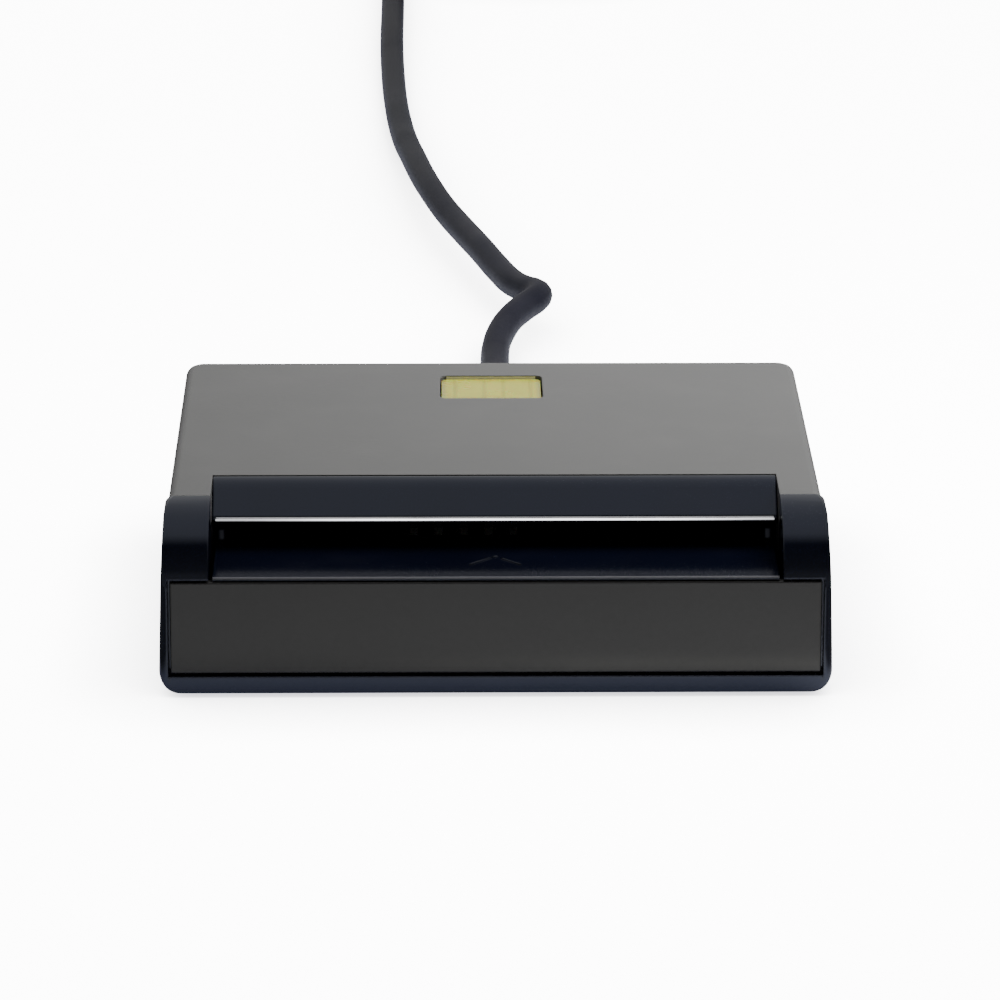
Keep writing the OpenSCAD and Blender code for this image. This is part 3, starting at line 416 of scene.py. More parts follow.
place_screws("case_screw", CASE_SCREW_TOP, CASE_SCREW_STEPS, CASE_HEAD_H, CASE_SCREW_LEN, False)
place_screws(
    "board_screw", BOARD_SCREW_TOP, BOARD_SCREW_STEPS, BOARD_HEAD_H, BOARD_SCREW_LEN, True)

# %% [markdown]
# The feet are round pads of soft rubber, pressed in a mould and glued into shallow seats. A
# pad has a rounded rim and a slight dish in the middle, so that only a ring of it grips.

# %% Rubber feet
FOOT_R = 3.2 * MM
FOOT_H = 1.1 * MM
FOOT_RIM = 0.35 * MM
FOOT_DISH_R = 1.7 * MM
FOOT_DISH = 0.18 * MM
DISH_FLAT = 0.3
DISH_SLOPE = 0.8
DISH_EDGE = 0.02 * MM
FOOT_SIDES = 56
FOOT_PLACE = Vector((-23.45, -12.5, 0)) * MM
FOOT_STEPS = [(0, 0), (46.9, 0), (0, 32), (46.9, 32)]
RIM_STEPS = 4


def foot_profile():
    quarter = [i * math.pi / 2 / RIM_STEPS for i in range(RIM_STEPS + 1)]
    rim = [(FOOT_R - FOOT_RIM * (1 - math.sin(a)), FOOT_RIM * (1 - math.cos(a)))
           for a in quarter]
    dish = [(FOOT_DISH_R * DISH_FLAT, FOOT_DISH),
            (FOOT_DISH_R * DISH_SLOPE, FOOT_DISH * DISH_SLOPE), (FOOT_DISH_R, DISH_EDGE)]
    return dish + rim + [(FOOT_R, FOOT_H)]


foot = turned("rubber_foot_1", foot_profile(), FOOT_PLACE, FOOT_SIDES)
feet = repeat(foot, "rubber_foot", FOOT_STEPS)
for piece in feet:
    hand_over(piece, "foot_rubber", ["rubber_feet"])
print("feet:", len(feet), "of", len(foot.data.polygons), "faces")

# %% [markdown]
# Where a spring's tail meets the board, solder has drawn up to it in a small bright cone with
# hollow sides. One is turned and the other seven are copies, in two rows at the pitch of the
# contacts.

# %% Solder joints
SOLDER_PROFILE = [(0.62, 0), (0.5, 0.07), (0.4, 0.18), (0.33, 0.3), (0.2, 0.38)]
SOLDER_SIDES = 20
FIRST_CONTACT_X = -6.91
CONTACT_PITCH = 2.54
BOARD_TOP = 8.6
TAIL_ROWS = [-14.95, 7.85]
IN_ROW = 4

solder_profile = [(r * MM, h * MM) for r, h in SOLDER_PROFILE]
joint_place = Vector((FIRST_CONTACT_X, TAIL_ROWS[0], BOARD_TOP)) * MM
joint = turned("solder_joint_1", solder_profile, joint_place, SOLDER_SIDES)
joint_steps = [(i * CONTACT_PITCH, y - TAIL_ROWS[0]) for y in TAIL_ROWS for i in range(IN_ROW)]
joints = repeat(joint, "solder_joint", joint_steps)
for piece in joints:
    hand_over(piece, "can_steel")
print("solder joints:", len(joints))

# %% [markdown]
# A small arrow in the tray shows which way the card goes in. On the real one it is part of
# the mould: a dot at the tip and two strokes that stand a tenth of a millimetre above the
# gloss and thin out toward the front. Each stroke starts as a box, gets its thin end by
# scaling one face, and soft edges by a bevel.

# %% Arrow on the tray
TRAY_Z = 12.45
ARROW_H = 0.12
ARROW_SUNK = 0.05
STROKE_W = 0.34
STROKE_THIN = 0.45
STROKE_EDGE = 0.04
DOT_R = 0.3
DOT_TOP = 0.7
ARROW_TIP = (0.02, -20.19)
ARROW_STROKES = {
    "arrow_stroke_left": ((-0.42, -20.43), (-2.59, -22.75)),
    "arrow_stroke_right": ((0.62, -20.72), (2.52, -22.79)),
}


def add_stroke(name, start, end):
    along = Vector(end) - Vector(start)
    middle = (Vector(start) + Vector(end)) / 2
    bpy.ops.mesh.primitive_cube_add(size=1)
    stroke = bpy.context.object
    stroke.name = name
    stroke.scale = Vector((along.length, STROKE_W, ARROW_H + ARROW_SUNK)) * MM
    freeze(stroke, size=True)
    enter(stroke)
    select_faces(stroke, lambda centre, normal: normal.x > 1 / 2)
    bpy.ops.transform.resize(value=(1, STROKE_THIN, 1))
    leave()
    add_modifier(stroke, "BEVEL", width=STROKE_EDGE * MM, segments=2)
    stroke.rotation_euler.z = math.atan2(along.y, along.x)
    height = TRAY_Z + (ARROW_H - ARROW_SUNK) / 2
    stroke.location = Vector((middle.x, middle.y, height)) * MM
    settle(stroke)
    return stroke


for name, (start, end) in ARROW_STROKES.items():
    hand_over(add_stroke(name, start, end), "navy_gloss_plastic")
DOT_PROFILE = [(DOT_R * MM, -ARROW_SUNK * MM), (DOT_R * MM, ARROW_H * MM / 2),
               (DOT_R * DOT_TOP * MM, ARROW_H * MM)]
dot_place = Vector((ARROW_TIP[0], ARROW_TIP[1], TRAY_Z)) * MM
hand_over(turned("arrow_dot", DOT_PROFILE, dot_place, SOLDER_SIDES), "navy_gloss_plastic")

# %% [markdown]
# The coil is held by a flat wire tie in a plastic skin. Its two ends are twisted together
# beyond the loop. The twist is drawn out by hand: the end face is extruded and turned a
# little, again and again.

# %% Twisted end of the tie
TIE_PLACE = Vector((33.3, 305, 4.6)) * MM
TIE_STRIP = Vector((1.2, 2.6, 0.9)) * MM
TWIST_STEPS = 9
TWIST_STEP = 0.8 * MM
TWIST_TURN = math.radians(38)
TWIST_EDGE = 0.12 * MM

bpy.ops.mesh.primitive_cube_add(size=1, location=TIE_PLACE)
twist = bpy.context.object
twist.name = "tie_twist"
twist.scale = TIE_STRIP
freeze(twist, size=True)
enter(twist)
select_faces(twist, lambda centre, normal: normal.x > 1 / 2)
for i in range(TWIST_STEPS):
    bpy.ops.mesh.extrude_region_move(TRANSFORM_OT_translate={"value": (TWIST_STEP, 0, 0)})
    end_at = TIE_PLACE + Vector((TIE_STRIP.x / 2 + (i + 1) * TWIST_STEP, 0, 0))
    bpy.ops.transform.rotate(value=TWIST_TURN, orient_axis="X", center_override=end_at)
leave()
add_modifier(twist, "BEVEL", width=TWIST_EDGE, segments=2, limit_method="ANGLE")
settle(twist)
hand_over(twist, "tie_black")
print("twist reaches x =", round(max(v.co.x for v in twist.data.vertices) / MM, 1), "mm")

# %% [markdown]
# A finish is more than a colour, so every material here is a small network. To keep the
# networks short, a few helpers add a node, do sums, map a range, mix two colours and read a
# place in millimetres. What a helper is given may be a number or another node's output.

# %% Node helpers
# Sockets of the Mix node by number, because several of them share a name.
FACTOR, COLOUR_A, COLOUR_B, MIXED = 0, 6, 7, 2


def put(tree, kind, inputs=(), **settings):
    node = tree.nodes.new("ShaderNode" + kind)
    for name, value in settings.items():
        setattr(node, name, value)
    for key, value in dict(inputs).items():
        if isinstance(value, bpy.types.NodeSocket):
            tree.links.new(value, node.inputs[key])
        else:
            node.inputs[key].default_value = value
    return node


def calc(tree, operation, *values):
    return put(tree, "Math", enumerate(values), operation=operation).outputs[0]


def reach(tree, value, low, high, to_low=0.0, to_high=1.0):
    limits = {"Value": value, "From Min": low, "From Max": high,
              "To Min": to_low, "To Max": to_high}
    return put(tree, "MapRange", limits, interpolation_type="SMOOTHSTEP").outputs["Result"]


def mix(tree, factor, first, second):
    inputs = {FACTOR: factor, COLOUR_A: first, COLOUR_B: second}
    return put(tree, "Mix", inputs, data_type="RGBA").outputs[MIXED]


def noise(tree, where, scale, detail=2.0, stretch=(1, 1, 1), turn=(0, 0, 0)):
    placed = put(tree, "Mapping", {"Vector": where, "Scale": stretch, "Rotation": turn})
    inputs = {"Vector": placed.outputs[0], "Scale": scale, "Detail": detail}
    return put(tree, "TexNoise", inputs).outputs["Fac"]


def split(tree, vector):
    return put(tree, "SeparateXYZ", {0: vector}).outputs


def millimetres(tree, where):
    scaled = put(tree, "VectorMath", {0: where, "Scale": 1 / MM}, operation="SCALE")
    return split(tree, scaled.outputs[0])


def new_group(name, takes, gives):
    """A shared effect. An input that is given no number is a vector."""
    tree = bpy.data.node_groups.new(name, "ShaderNodeTree")
    for title, value in takes.items():
        kind = "NodeSocketVector" if value is None else "NodeSocketFloat"
        socket = tree.interface.new_socket(title, in_out="INPUT", socket_type=kind)
        if value is not None:
            socket.default_value = value
    for title in gives:
        kind = "NodeSocketVector" if title == "Normal" else "NodeSocketFloat"
        tree.interface.new_socket(title, in_out="OUTPUT", socket_type=kind)
    start = tree.nodes.new("NodeGroupInput").outputs
    end = tree.nodes.new("NodeGroupOutput").inputs
    return tree, start, end


def apply_group(tree, group, **inputs):
    return put(tree, "Group", inputs, node_tree=group).outputs


# %% [markdown]
# Shared effects. Moulded plastic copies the fine spark-eroded skin of its mould, so its
# surface is a field of tiny pebbles. Paint and plastic drift a little in tone. Handling
# leaves hairline scratches, blurred patches of grease and rubbed edges, and time leaves dust
# on what faces up. Drawn or stamped metal keeps lines from the tool. Each effect is one node
# group, and a material sets only how strong and how large it is. The rubbed edge gives its
# rounded normal too, so the light sees the radius that it stands for.


# %% Shared effects
SKIN_SCALE = 5000.0
PEBBLE_SHARE = 0.6
SKIN_BAND = (0.35, 0.65)
DRIFT_SCALE = 60.0
DRIFT_BAND = (0.3, 0.7)
HAIR_SCALE = 40.0
HAIR_WIDTH = 0.002
HAIR_ANGLES = (0.5, 1.9, 2.7)
HAIR_STRETCH = (1, 14, 14)
HAIR_PATCH = 90.0
HAIR_BAND = (0.52, 0.62)
SMEAR_SCALE = 70.0
SMEAR_BAND = (0.42, 0.66)
RIDGE_SCALE = 1400.0
RIDGE_STRETCH = (1, 3, 1)
RIDGE_TURN = (0, 0, 0.7)
UPWARD_BAND = (0.55, 0.98)
SPECK_SCALE = 900.0
SPECK_BAND = (0.1, 0.03)
SPECK_CHANCE = 0.86
HAZE_SCALE = 160.0
HAZE_BAND = (0.45, 0.8)
HAZE_MOST = 0.22
RUB_RADIUS = 0.25 * MM
RUB_BAND = (0.995, 0.93)
RUB_PATCH = 420.0
RUB_PATCH_BAND = (0.4, 0.66)
TOOL_SCALE = 900.0
TOOL_STRETCH = (0.03, 1, 1)


def start_effect(name, scale, *gives):
    tree, start, end = new_group(name, {"Vector": None, "Scale": scale}, gives)
    return tree, start["Vector"], start["Scale"], end


def make_mould_skin():
    tree, where, scale, end = start_effect("mould skin", SKIN_SCALE, "Height", "Tone")
    cells = put(tree, "TexVoronoi", {"Vector": where, "Scale": scale}, feature="SMOOTH_F1")
    fine = noise(tree, where, scale, detail=3.0)
    height = calc(tree, "MULTIPLY_ADD", cells.outputs["Distance"], PEBBLE_SHARE, fine)
    tree.links.new(height, end["Height"])
    tree.links.new(reach(tree, fine, *SKIN_BAND), end["Tone"])
    return tree


def make_tone_drift():
    tree, where, scale, end = start_effect("tone drift", DRIFT_SCALE, "Value")
    tree.links.new(reach(tree, noise(tree, where, scale, detail=3.0), *DRIFT_BAND), end["Value"])
    return tree


def make_hairlines():
    takes = {"Vector": None, "Scale": HAIR_SCALE, "Width": HAIR_WIDTH}
    tree, start, end = new_group("hairline scratches", takes, ["Mask"])
    masks = []
    for angle in HAIR_ANGLES:
        field = noise(tree, start["Vector"], start["Scale"], 0.0, HAIR_STRETCH, (0, 0, angle))
        away = calc(tree, "ABSOLUTE", calc(tree, "SUBTRACT", field, 1 / 2))
        masks.append(calc(tree, "LESS_THAN", away, start["Width"]))
    lines = calc(tree, "MAXIMUM", calc(tree, "MAXIMUM", masks[0], masks[1]), masks[2])
    patches = reach(tree, noise(tree, start["Vector"], HAIR_PATCH, detail=1.0), *HAIR_BAND)
    tree.links.new(calc(tree, "MULTIPLY", lines, patches), end["Mask"])
    return tree


def make_grease():
    tree, where, scale, end = start_effect("grease patches", SMEAR_SCALE, "Value")
    patches = reach(tree, noise(tree, where, scale, detail=1.0), *SMEAR_BAND)
    ridges = noise(tree, where, RIDGE_SCALE, 1.0, RIDGE_STRETCH, RIDGE_TURN)
    tree.links.new(calc(tree, "MULTIPLY", patches, ridges), end["Value"])
    return tree


def make_dust():
    tree, where, scale, end = start_effect("settled dust", SPECK_SCALE, "Mask")
    normal = put(tree, "NewGeometry").outputs["Normal"]
    up = reach(tree, split(tree, normal)["Z"], *UPWARD_BAND)
    cells = put(tree, "TexVoronoi", {"Vector": where, "Scale": scale}).outputs
    speck = reach(tree, cells["Distance"], *SPECK_BAND)
    chosen = calc(tree, "GREATER_THAN", split(tree, cells["Color"])["X"], SPECK_CHANCE)
    haze = reach(tree, noise(tree, where, HAZE_SCALE, detail=4.0), *HAZE_BAND, 0.0, HAZE_MOST)
    both = calc(tree, "MAXIMUM", calc(tree, "MULTIPLY", speck, chosen), haze)
    tree.links.new(calc(tree, "MULTIPLY", both, up), end["Mask"])
    return tree


def make_rubbed_edge():
    takes = {"Vector": None, "Radius": RUB_RADIUS}
    tree, start, end = new_group("rubbed edge", takes, ["Mask", "Normal"])
    rounded = put(tree, "Bevel", {"Radius": start["Radius"]}, samples=4).outputs[0]
    tree.links.new(rounded, end["Normal"])
    normal = put(tree, "NewGeometry").outputs["Normal"]
    same = put(tree, "VectorMath", {0: rounded, 1: normal}, operation="DOT_PRODUCT")
    edge = reach(tree, same.outputs["Value"], *RUB_BAND)
    worn = reach(tree, noise(tree, start["Vector"], RUB_PATCH, detail=3.0), *RUB_PATCH_BAND)
    tree.links.new(calc(tree, "MULTIPLY", edge, worn), end["Mask"])
    return tree


def make_tool_lines():
    tree, where, scale, end = start_effect("tool lines", TOOL_SCALE, "Height", "Value")
    lines = noise(tree, where, scale, stretch=TOOL_STRETCH)
    tree.links.new(lines, end["Height"])
    tree.links.new(reach(tree, lines, *DRIFT_BAND), end["Value"])
    return tree


def make_stripe():
    takes = {"Value": 0.0, "Centre": 0.0, "Half Width": 0.1, "Soft": 0.1}
    tree, start, end = new_group("stripe", takes, ["Mask"])
    away = calc(tree, "ABSOLUTE", calc(tree, "SUBTRACT", start["Value"], start["Centre"]))
    outer = calc(tree, "ADD", start["Half Width"], start["Soft"])
    tree.links.new(reach(tree, away, outer, start["Half Width"]), end["Mask"])
    return tree


mould_skin = make_mould_skin()
tone_drift = make_tone_drift()
hairlines = make_hairlines()
grease = make_grease()
dust = make_dust()
rubbed_edge = make_rubbed_edge()
tool_lines = make_tool_lines()
stripe = make_stripe()
print("shared effects:", len(bpy.data.node_groups))

# %% [markdown]
# Most pieces are moulded or painted, and one recipe covers them. Its first colour drifts
# toward the second, rubbed edges turn pale, dust lies on top, and grease and scratches
# change how sharply the surface shines. A second one is for metals. What stays the same all
# over a material, such as its coat, is set on the shader itself.


# %% Recipes for plastic, paint and metal
PALE_GAIN = 2.2
PALE_LIFT = 0.03
BRIGHT_GAIN = 1.3
METAL_DRIFT = 180.0
METAL_RUB = 0.12 * MM
METAL_SMEAR = 160.0
SMEAR_BLUR = 0.2


def rgb(red, green, blue):
    return (red, green, blue, 1)


DUST_COLOUR = rgb(0.62, 0.6, 0.56)


def start_material(slot, **constants):
    """A material named after its slot, with the values that are the same all over it."""
    material = bpy.data.materials.new(slot.replace("_", " "))
    material.use_nodes = True
    tree = material.node_tree
    shader = tree.nodes["Principled BSDF"]
    for title, value in constants.items():
        shader.inputs[title.replace("_", " ")].default_value = value
    where = put(tree, "TexCoord").outputs["Object"]
    return material, tree, shader, where


def feed(shader, title, value):
    shader.id_data.links.new(value, shader.inputs[title])


def set_bump(tree, shader, height, depth, **onto):
    bump = put(tree, "Bump", {"Height": height, "Distance": depth} | onto)
    feed(shader, "Normal", bump.outputs[0])


def add_skin(tree, shader, where, scale, rough, depth):
    skin = apply_group(tree, mould_skin, Vector=where, Scale=scale)
    feed(shader, "Roughness", reach(tree, skin["Tone"], 0, 1, *rough))
    set_bump(tree, shader, skin["Height"], depth)


def band(tree, value, middle, half, soft):
    """How far a value is inside a band with soft edges."""
    inputs = {"Value": value, "Centre": middle, "Half Width": half, "Soft": soft}
    return apply_group(tree, stripe, **inputs)["Mask"]


def in_box(tree, axes, box):
    """How far a point is inside a box, given as a band along each axis."""
    near = [band(tree, axes[axis], *span) for axis, span in box.items()]
    inside = near[0]
    for side in near[1:]:
        inside = calc(tree, "MULTIPLY", inside, side)
    return inside


def moulded(slot, colour, second, rough, skin=SKIN_SCALE, depth=0.004, drift=DRIFT_SCALE,
            greasy=0.12, scratched=0.15, worn=0.2, dusty=0.06, **constants):
    material, tree, shader, where = start_material(slot, **constants)
    grain = apply_group(tree, mould_skin, Vector=where, Scale=skin)
    shift = apply_group(tree, tone_drift, Vector=where, Scale=drift)["Value"]
    base = mix(tree, shift, colour, second)
    rounded = apply_group(tree, rubbed_edge, Vector=where)
    pale = rgb(*(min(1, PALE_GAIN * c + PALE_LIFT) for c in second[:3]))
    base = mix(tree, calc(tree, "MULTIPLY", rounded["Mask"], worn), base, pale)
    lines = apply_group(tree, hairlines, Vector=where)["Mask"]
    base = mix(tree, calc(tree, "MULTIPLY", lines, scratched), base, pale)
    settled = apply_group(tree, dust, Vector=where)["Mask"]
    base = mix(tree, calc(tree, "MULTIPLY", settled, dusty), base, DUST_COLOUR)
    feed(shader, "Base Color", base)
    smear = apply_group(tree, grease, Vector=where)["Value"]
    blur = calc(tree, "MULTIPLY_ADD", smear, greasy, rough)
    blur = calc(tree, "MULTIPLY_ADD", lines, scratched, blur)
    feed(shader, "Roughness", calc(tree, "MULTIPLY_ADD", settled, dusty, blur))
    set_bump(tree, shader, grain["Height"], depth * MM, Normal=rounded["Normal"])
    return material


def metal(slot, colour, second, rough, lines=TOOL_SCALE, depth=0.002, worn=0.3):
    material, tree, shader, where = start_material(slot, Metallic=1.0)
    drawn = apply_group(tree, tool_lines, Vector=where, Scale=lines)
    shift = apply_group(tree, tone_drift, Vector=where, Scale=METAL_DRIFT)["Value"]
    base = mix(tree, shift, colour, second)
    edge = apply_group(tree, rubbed_edge, Vector=where, Radius=METAL_RUB)["Mask"]
    bright = rgb(*(min(1, BRIGHT_GAIN * c) for c in colour[:3]))
    feed(shader, "Base Color", mix(tree, calc(tree, "MULTIPLY", edge, worn), base, bright))
    smear = apply_group(tree, grease, Vector=where, Scale=METAL_SMEAR)["Value"]
    blur = calc(tree, "MULTIPLY_ADD", drawn["Value"], rough / 3, rough)
    feed(shader, "Roughness", calc(tree, "MULTIPLY_ADD", smear, SMEAR_BLUR, blur))
    set_bump(tree, shader, drawn["Height"], depth * MM)
    return material


# %% [markdown]
# The gray of the top is a satin paint with a few metal flakes: it grows lighter where it
# turns toward the light. The front is black plastic with a touch of blue under a hard gloss.
# The panel is a smoked plate that mirrors the table. Inside, the tray and bridge are plain
# satin plastic, and the springs' block is nylon, which lets a little light in.
# Two places are tinted apart. A thin pale line along the tray's front edge is a painted
# highlight, where that edge would catch the light.
# The walls of the window's hole catch the light that the yellow pane spreads sideways, and a
# pale tint on those walls stands for it.

# %% Plastics and paints
PLASTICS = {
    "black_satin_plastic": dict(
        colour=rgb(0.012, 0.012, 0.014), second=rgb(0.017, 0.017, 0.019), rough=0.42,
        skin=3800.0, depth=0.006),
    "navy_gloss_plastic": dict(
        colour=rgb(0.0015, 0.0021, 0.0055), second=rgb(0.002, 0.0028, 0.0075), rough=0.12,
        depth=0.0004, greasy=0.02, scratched=0.03, worn=0.04, dusty=0.01,
        Specular_Tint=rgb(0.76, 0.82, 1.0), Specular_IOR_Level=0.7),
    "charcoal_gloss_panel": dict(
        colour=rgb(0.008, 0.008, 0.007), second=rgb(0.01, 0.01, 0.009), rough=0.16,
        depth=0.0004, greasy=0.08, scratched=0.03, worn=0.06, dusty=0.03,
        Specular_IOR_Level=0.52),
    "gray_satin_paint": dict(
        colour=rgb(0.095, 0.095, 0.0935), second=rgb(0.1, 0.0995, 0.098), rough=0.42,
        skin=2600.0, depth=0.002, worn=0.12, dusty=0.05, scratched=0.04, greasy=0.06,
        Specular_IOR_Level=0.35),
    "white_nylon": dict(
        colour=rgb(0.78, 0.77, 0.72), second=rgb(0.72, 0.7, 0.64), rough=0.38, worn=0.1,
        Subsurface_Weight=0.15, Subsurface_Scale=0.6 * MM),
    "plug_white": dict(
        colour=rgb(0.83, 0.83, 0.81), second=rgb(0.78, 0.78, 0.77), rough=0.33, worn=0.1,
        Subsurface_Weight=0.1, Subsurface_Scale=0.5 * MM),
    "chip_black": dict(
        colour=rgb(0.018, 0.018, 0.018), second=rgb(0.026, 0.026, 0.025), rough=0.55,
        skin=9000.0, depth=0.008),
    "capacitor_tan": dict(
        colour=rgb(0.34, 0.24, 0.14), second=rgb(0.4, 0.29, 0.18), rough=0.4, skin=9000.0,
        depth=0.005, worn=0.15),
    "soft_black": dict(
        colour=rgb(0.016, 0.016, 0.018), second=rgb(0.022, 0.022, 0.024), rough=0.55,
        skin=3000.0, depth=0.01, greasy=0.08, dusty=0.12, Sheen_Weight=0.1),
    "foot_rubber": dict(
        colour=rgb(0.02, 0.02, 0.02), second=rgb(0.03, 0.029, 0.028), rough=0.75,
        skin=2400.0, depth=0.02, greasy=0.05, scratched=0.1, worn=0.3, dusty=0.3,
        Sheen_Weight=0.15),
    "tie_black": dict(
        colour=rgb(0.014, 0.014, 0.015), second=rgb(0.02, 0.02, 0.021), rough=0.36,
        skin=4200.0, depth=0.006, worn=0.3),
}
# A painted highlight: a thin pale line along the tray's front edge.
TRAY_EDGE_HIGHLIGHT_BOX = {"Y": (-26.35, 0.09, 0.08), "Z": (12.4, 0.09, 0.08)}
PAINTED_EDGE_HIGHLIGHT = rgb(0.1, 0.1, 0.105)
WINDOW_WALLS = {"X": (0, 4.7, 0.08), "Y": (17.6, 4.1, 0.08), "Z": (18.02, 0.24, 0.08)}
WALLS_LIT = rgb(0.85, 0.85, 0.74)


def tint_place(material, box, tint):
    """Tint what lies in a box. Its bands are in millimetres: middle, half width, soft edge."""
    tree = material.node_tree
    colour = tree.nodes["Principled BSDF"].inputs["Base Color"]
    axes = millimetres(tree, put(tree, "TexCoord").outputs["Object"])
    tinted = mix(tree, in_box(tree, axes, box), colour.links[0].from_socket, tint)
    tree.links.new(tinted, colour)


finishes = {slot: moulded(slot, **look) for slot, look in PLASTICS.items()}
# Paints the highlight along the tray's front edge.
tint_place(finishes["navy_gloss_plastic"], TRAY_EDGE_HIGHLIGHT_BOX, PAINTED_EDGE_HIGHLIGHT)
tint_place(finishes["gray_satin_paint"], WINDOW_WALLS, WALLS_LIT)
print("moulded and painted finishes:", len(finishes))

# %% [markdown]
# Metals here are thin sheet or wire. The strip on the hood's lip is a polished foil, the
# springs are bronze, the screws are zinc plated, and solder and the plug's sleeve are tin.
# The foil is slightly rounded and throws a lamp back at the camera in one thin line, which is
# brightest near its middle. A little glare there, for the camera alone, stands for that lamp.

# %% Metals
METALS = {
    "bright_trim": dict(
        colour=rgb(0.9, 0.9, 0.92), second=rgb(0.84, 0.84, 0.87), rough=0.16, depth=0.0005,
        worn=0.1),
    "spring_bronze": dict(
        colour=rgb(0.78, 0.55, 0.28), second=rgb(0.86, 0.64, 0.36), rough=0.24, lines=2400.0),
    "can_steel": dict(
        colour=rgb(0.68, 0.68, 0.67), second=rgb(0.76, 0.76, 0.75), rough=0.26, lines=1500.0),
    "screw_steel": dict(
        colour=rgb(0.6, 0.61, 0.63), second=rgb(0.7, 0.69, 0.66), rough=0.3, lines=1800.0,
        worn=0.5),
}
TRIM_LINE = (15.29, 0.03, 0.11)
TRIM_BRIGHT = (2, 8, 24)
TRIM_END_SHARE = 0.18
TRIM_TINT = rgb(0.95, 0.97, 1)
TRIM_GLARE = 3.6


def add_glare(material):
    """One thin bright line along the strip, for the camera alone."""
    tree = material.node_tree
    shader = tree.nodes["Principled BSDF"]
    axes = millimetres(tree, put(tree, "TexCoord").outputs["Object"])
    middle = band(tree, axes["X"], *TRIM_BRIGHT)
    share = reach(tree, middle, 0, 1, TRIM_END_SHARE, 1)
    line = calc(tree, "MULTIPLY", band(tree, axes["Z"], *TRIM_LINE), share)
    feed(shader, "Emission Color", mix(tree, line, rgb(0, 0, 0), TRIM_TINT))
    seen = put(tree, "LightPath").outputs["Is Camera Ray"]
    feed(shader, "Emission Strength", calc(tree, "MULTIPLY", seen, TRIM_GLARE))


metals = {slot: metal(slot, **look) for slot, look in METALS.items()}
add_glare(metals["bright_trim"])
finishes |= metals
print("metals:", len(metals))

# %% [markdown]
# The window is a thick yellow pane that spreads the light of two lamps below it, which have
# clear lenses. Faint upright bars are cast into its underside, and they show as darker
# lines. Its rim, outside a box round the middle, is darker too. The mask of each bar is the
# same stripe group, only with another centre, measured in the photograph.

# %% Window
WINDOW_BARS = [-3.77, -0.68, 1.35, 4.23]
BAR_HALF = 0.06
BAR_SOFT = 0.3
BAR_DARK = 0.55
BAR_DEPTH = 0.03 * MM
BAR_COLOUR = rgb(0.3, 0.28, 0.03)
PANE_COLOURS = (rgb(0.385, 0.37, 0.045), rgb(0.43, 0.415, 0.055))
PANE_DRIFT = 240.0
PANE_SMEAR = 200.0
PANE_ROUGH = 0.22
PANE_INNER = {"X": (0.0, 4.6, 0.5), "Y": (18.5, 3.2, 0.6)}
PANE_RIM = rgb(0.3, 0.285, 0.07)
LIGHT_COLOURS = (rgb(0.82, 0.86, 0.8), rgb(0.9, 0.92, 0.84))
LIGHT_DRIFT = 900.0
LIGHT_SKIN = 9000.0
LIGHT_ROUGH = (0.12, 0.24)
LIGHT_DEPTH = 0.002 * MM


def make_window():
    material, tree, shader, where = start_material(
        "yellow_window", IOR=1.5, Coat_Weight=0.2, Subsurface_Weight=0.3,
        Subsurface_Scale=1.2 * MM)
    axes = millimetres(tree, where)
    bars = None
    for centre in WINDOW_BARS:
        bar = band(tree, axes["X"], centre, BAR_HALF, BAR_SOFT)
        bars = bar if bars is None else calc(tree, "MAXIMUM", bars, bar)
    shift = apply_group(tree, tone_drift, Vector=where, Scale=PANE_DRIFT)["Value"]
    base = mix(tree, shift, *PANE_COLOURS)
    base = mix(tree, calc(tree, "MULTIPLY", bars, BAR_DARK), base, BAR_COLOUR)
    base = mix(tree, in_box(tree, axes, PANE_INNER), PANE_RIM, base)
    feed(shader, "Base Color", base)
    smear = apply_group(tree, grease, Vector=where, Scale=PANE_SMEAR)["Value"]
    feed(shader, "Roughness", calc(tree, "MULTIPLY_ADD", smear, SMEAR_BLUR, PANE_ROUGH))
    set_bump(tree, shader, bars, BAR_DEPTH)
    return material


def make_lens():
    material, tree, shader, where = start_material(
        "light_lens", IOR=1.5, Transmission_Weight=0.5, Coat_Weight=0.5)
    shift = apply_group(tree, tone_drift, Vector=where, Scale=LIGHT_DRIFT)["Value"]
    feed(shader, "Base Color", mix(tree, shift, *LIGHT_COLOURS))
    add_skin(tree, shader, where, LIGHT_SKIN, LIGHT_ROUGH, LIGHT_DEPTH)
    return material


finishes["yellow_window"] = make_window()
finishes["light_lens"] = make_lens()
print("window bars:", len(WINDOW_BARS))

# %% [markdown]
# The board is glass cloth under a green lacquer. Copper tracks lie under the lacquer and
# show as lighter, slightly raised lines that run along or across the board; small tinned
# holes join the two sides. The tracks are bands of a fine grid, switched on or off for long
# cells at random, with a fixed pattern that never changes between renders.

# %% Circuit board
TRACK_PITCH = 0.9
TRACK_SPAN = (0.5, 0.2, 0.05)
TRACK_CELL = 5.5
TRACK_CHANCE = 0.62
TRACK_DEPTH = 0.03 * MM
TRACK_GREEN = rgb(0.03, 0.19, 0.07)
LACQUER = (rgb(0.008, 0.075, 0.03), rgb(0.012, 0.095, 0.04))
HOLE_TIN = rgb(0.7, 0.68, 0.6)
HOLE_SCALE = 190.0
HOLE_BAND = (0.09, 0.07)
WEAVE_SCALE = 1600.0
WEAVE_STRETCH = (1, 6, 1)
BOARD_DUST = 0.3
BOARD_ROUGH = 0.24


def track_mask(tree, across, along):
    lane = calc(tree, "FLOOR", calc(tree, "DIVIDE", across, TRACK_PITCH))
    inside = calc(tree, "FRACT", calc(tree, "DIVIDE", across, TRACK_PITCH))
    cell = calc(tree, "FLOOR", calc(tree, "DIVIDE", along, TRACK_CELL))
    seat = put(tree, "CombineXYZ", {"X": lane, "Y": cell}).outputs[0]
    chance = put(tree, "TexWhiteNoise", {"Vector": seat}).outputs["Value"]
    chosen = calc(tree, "GREATER_THAN", chance, TRACK_CHANCE)
    return calc(tree, "MULTIPLY", band(tree, inside, *TRACK_SPAN), chosen)


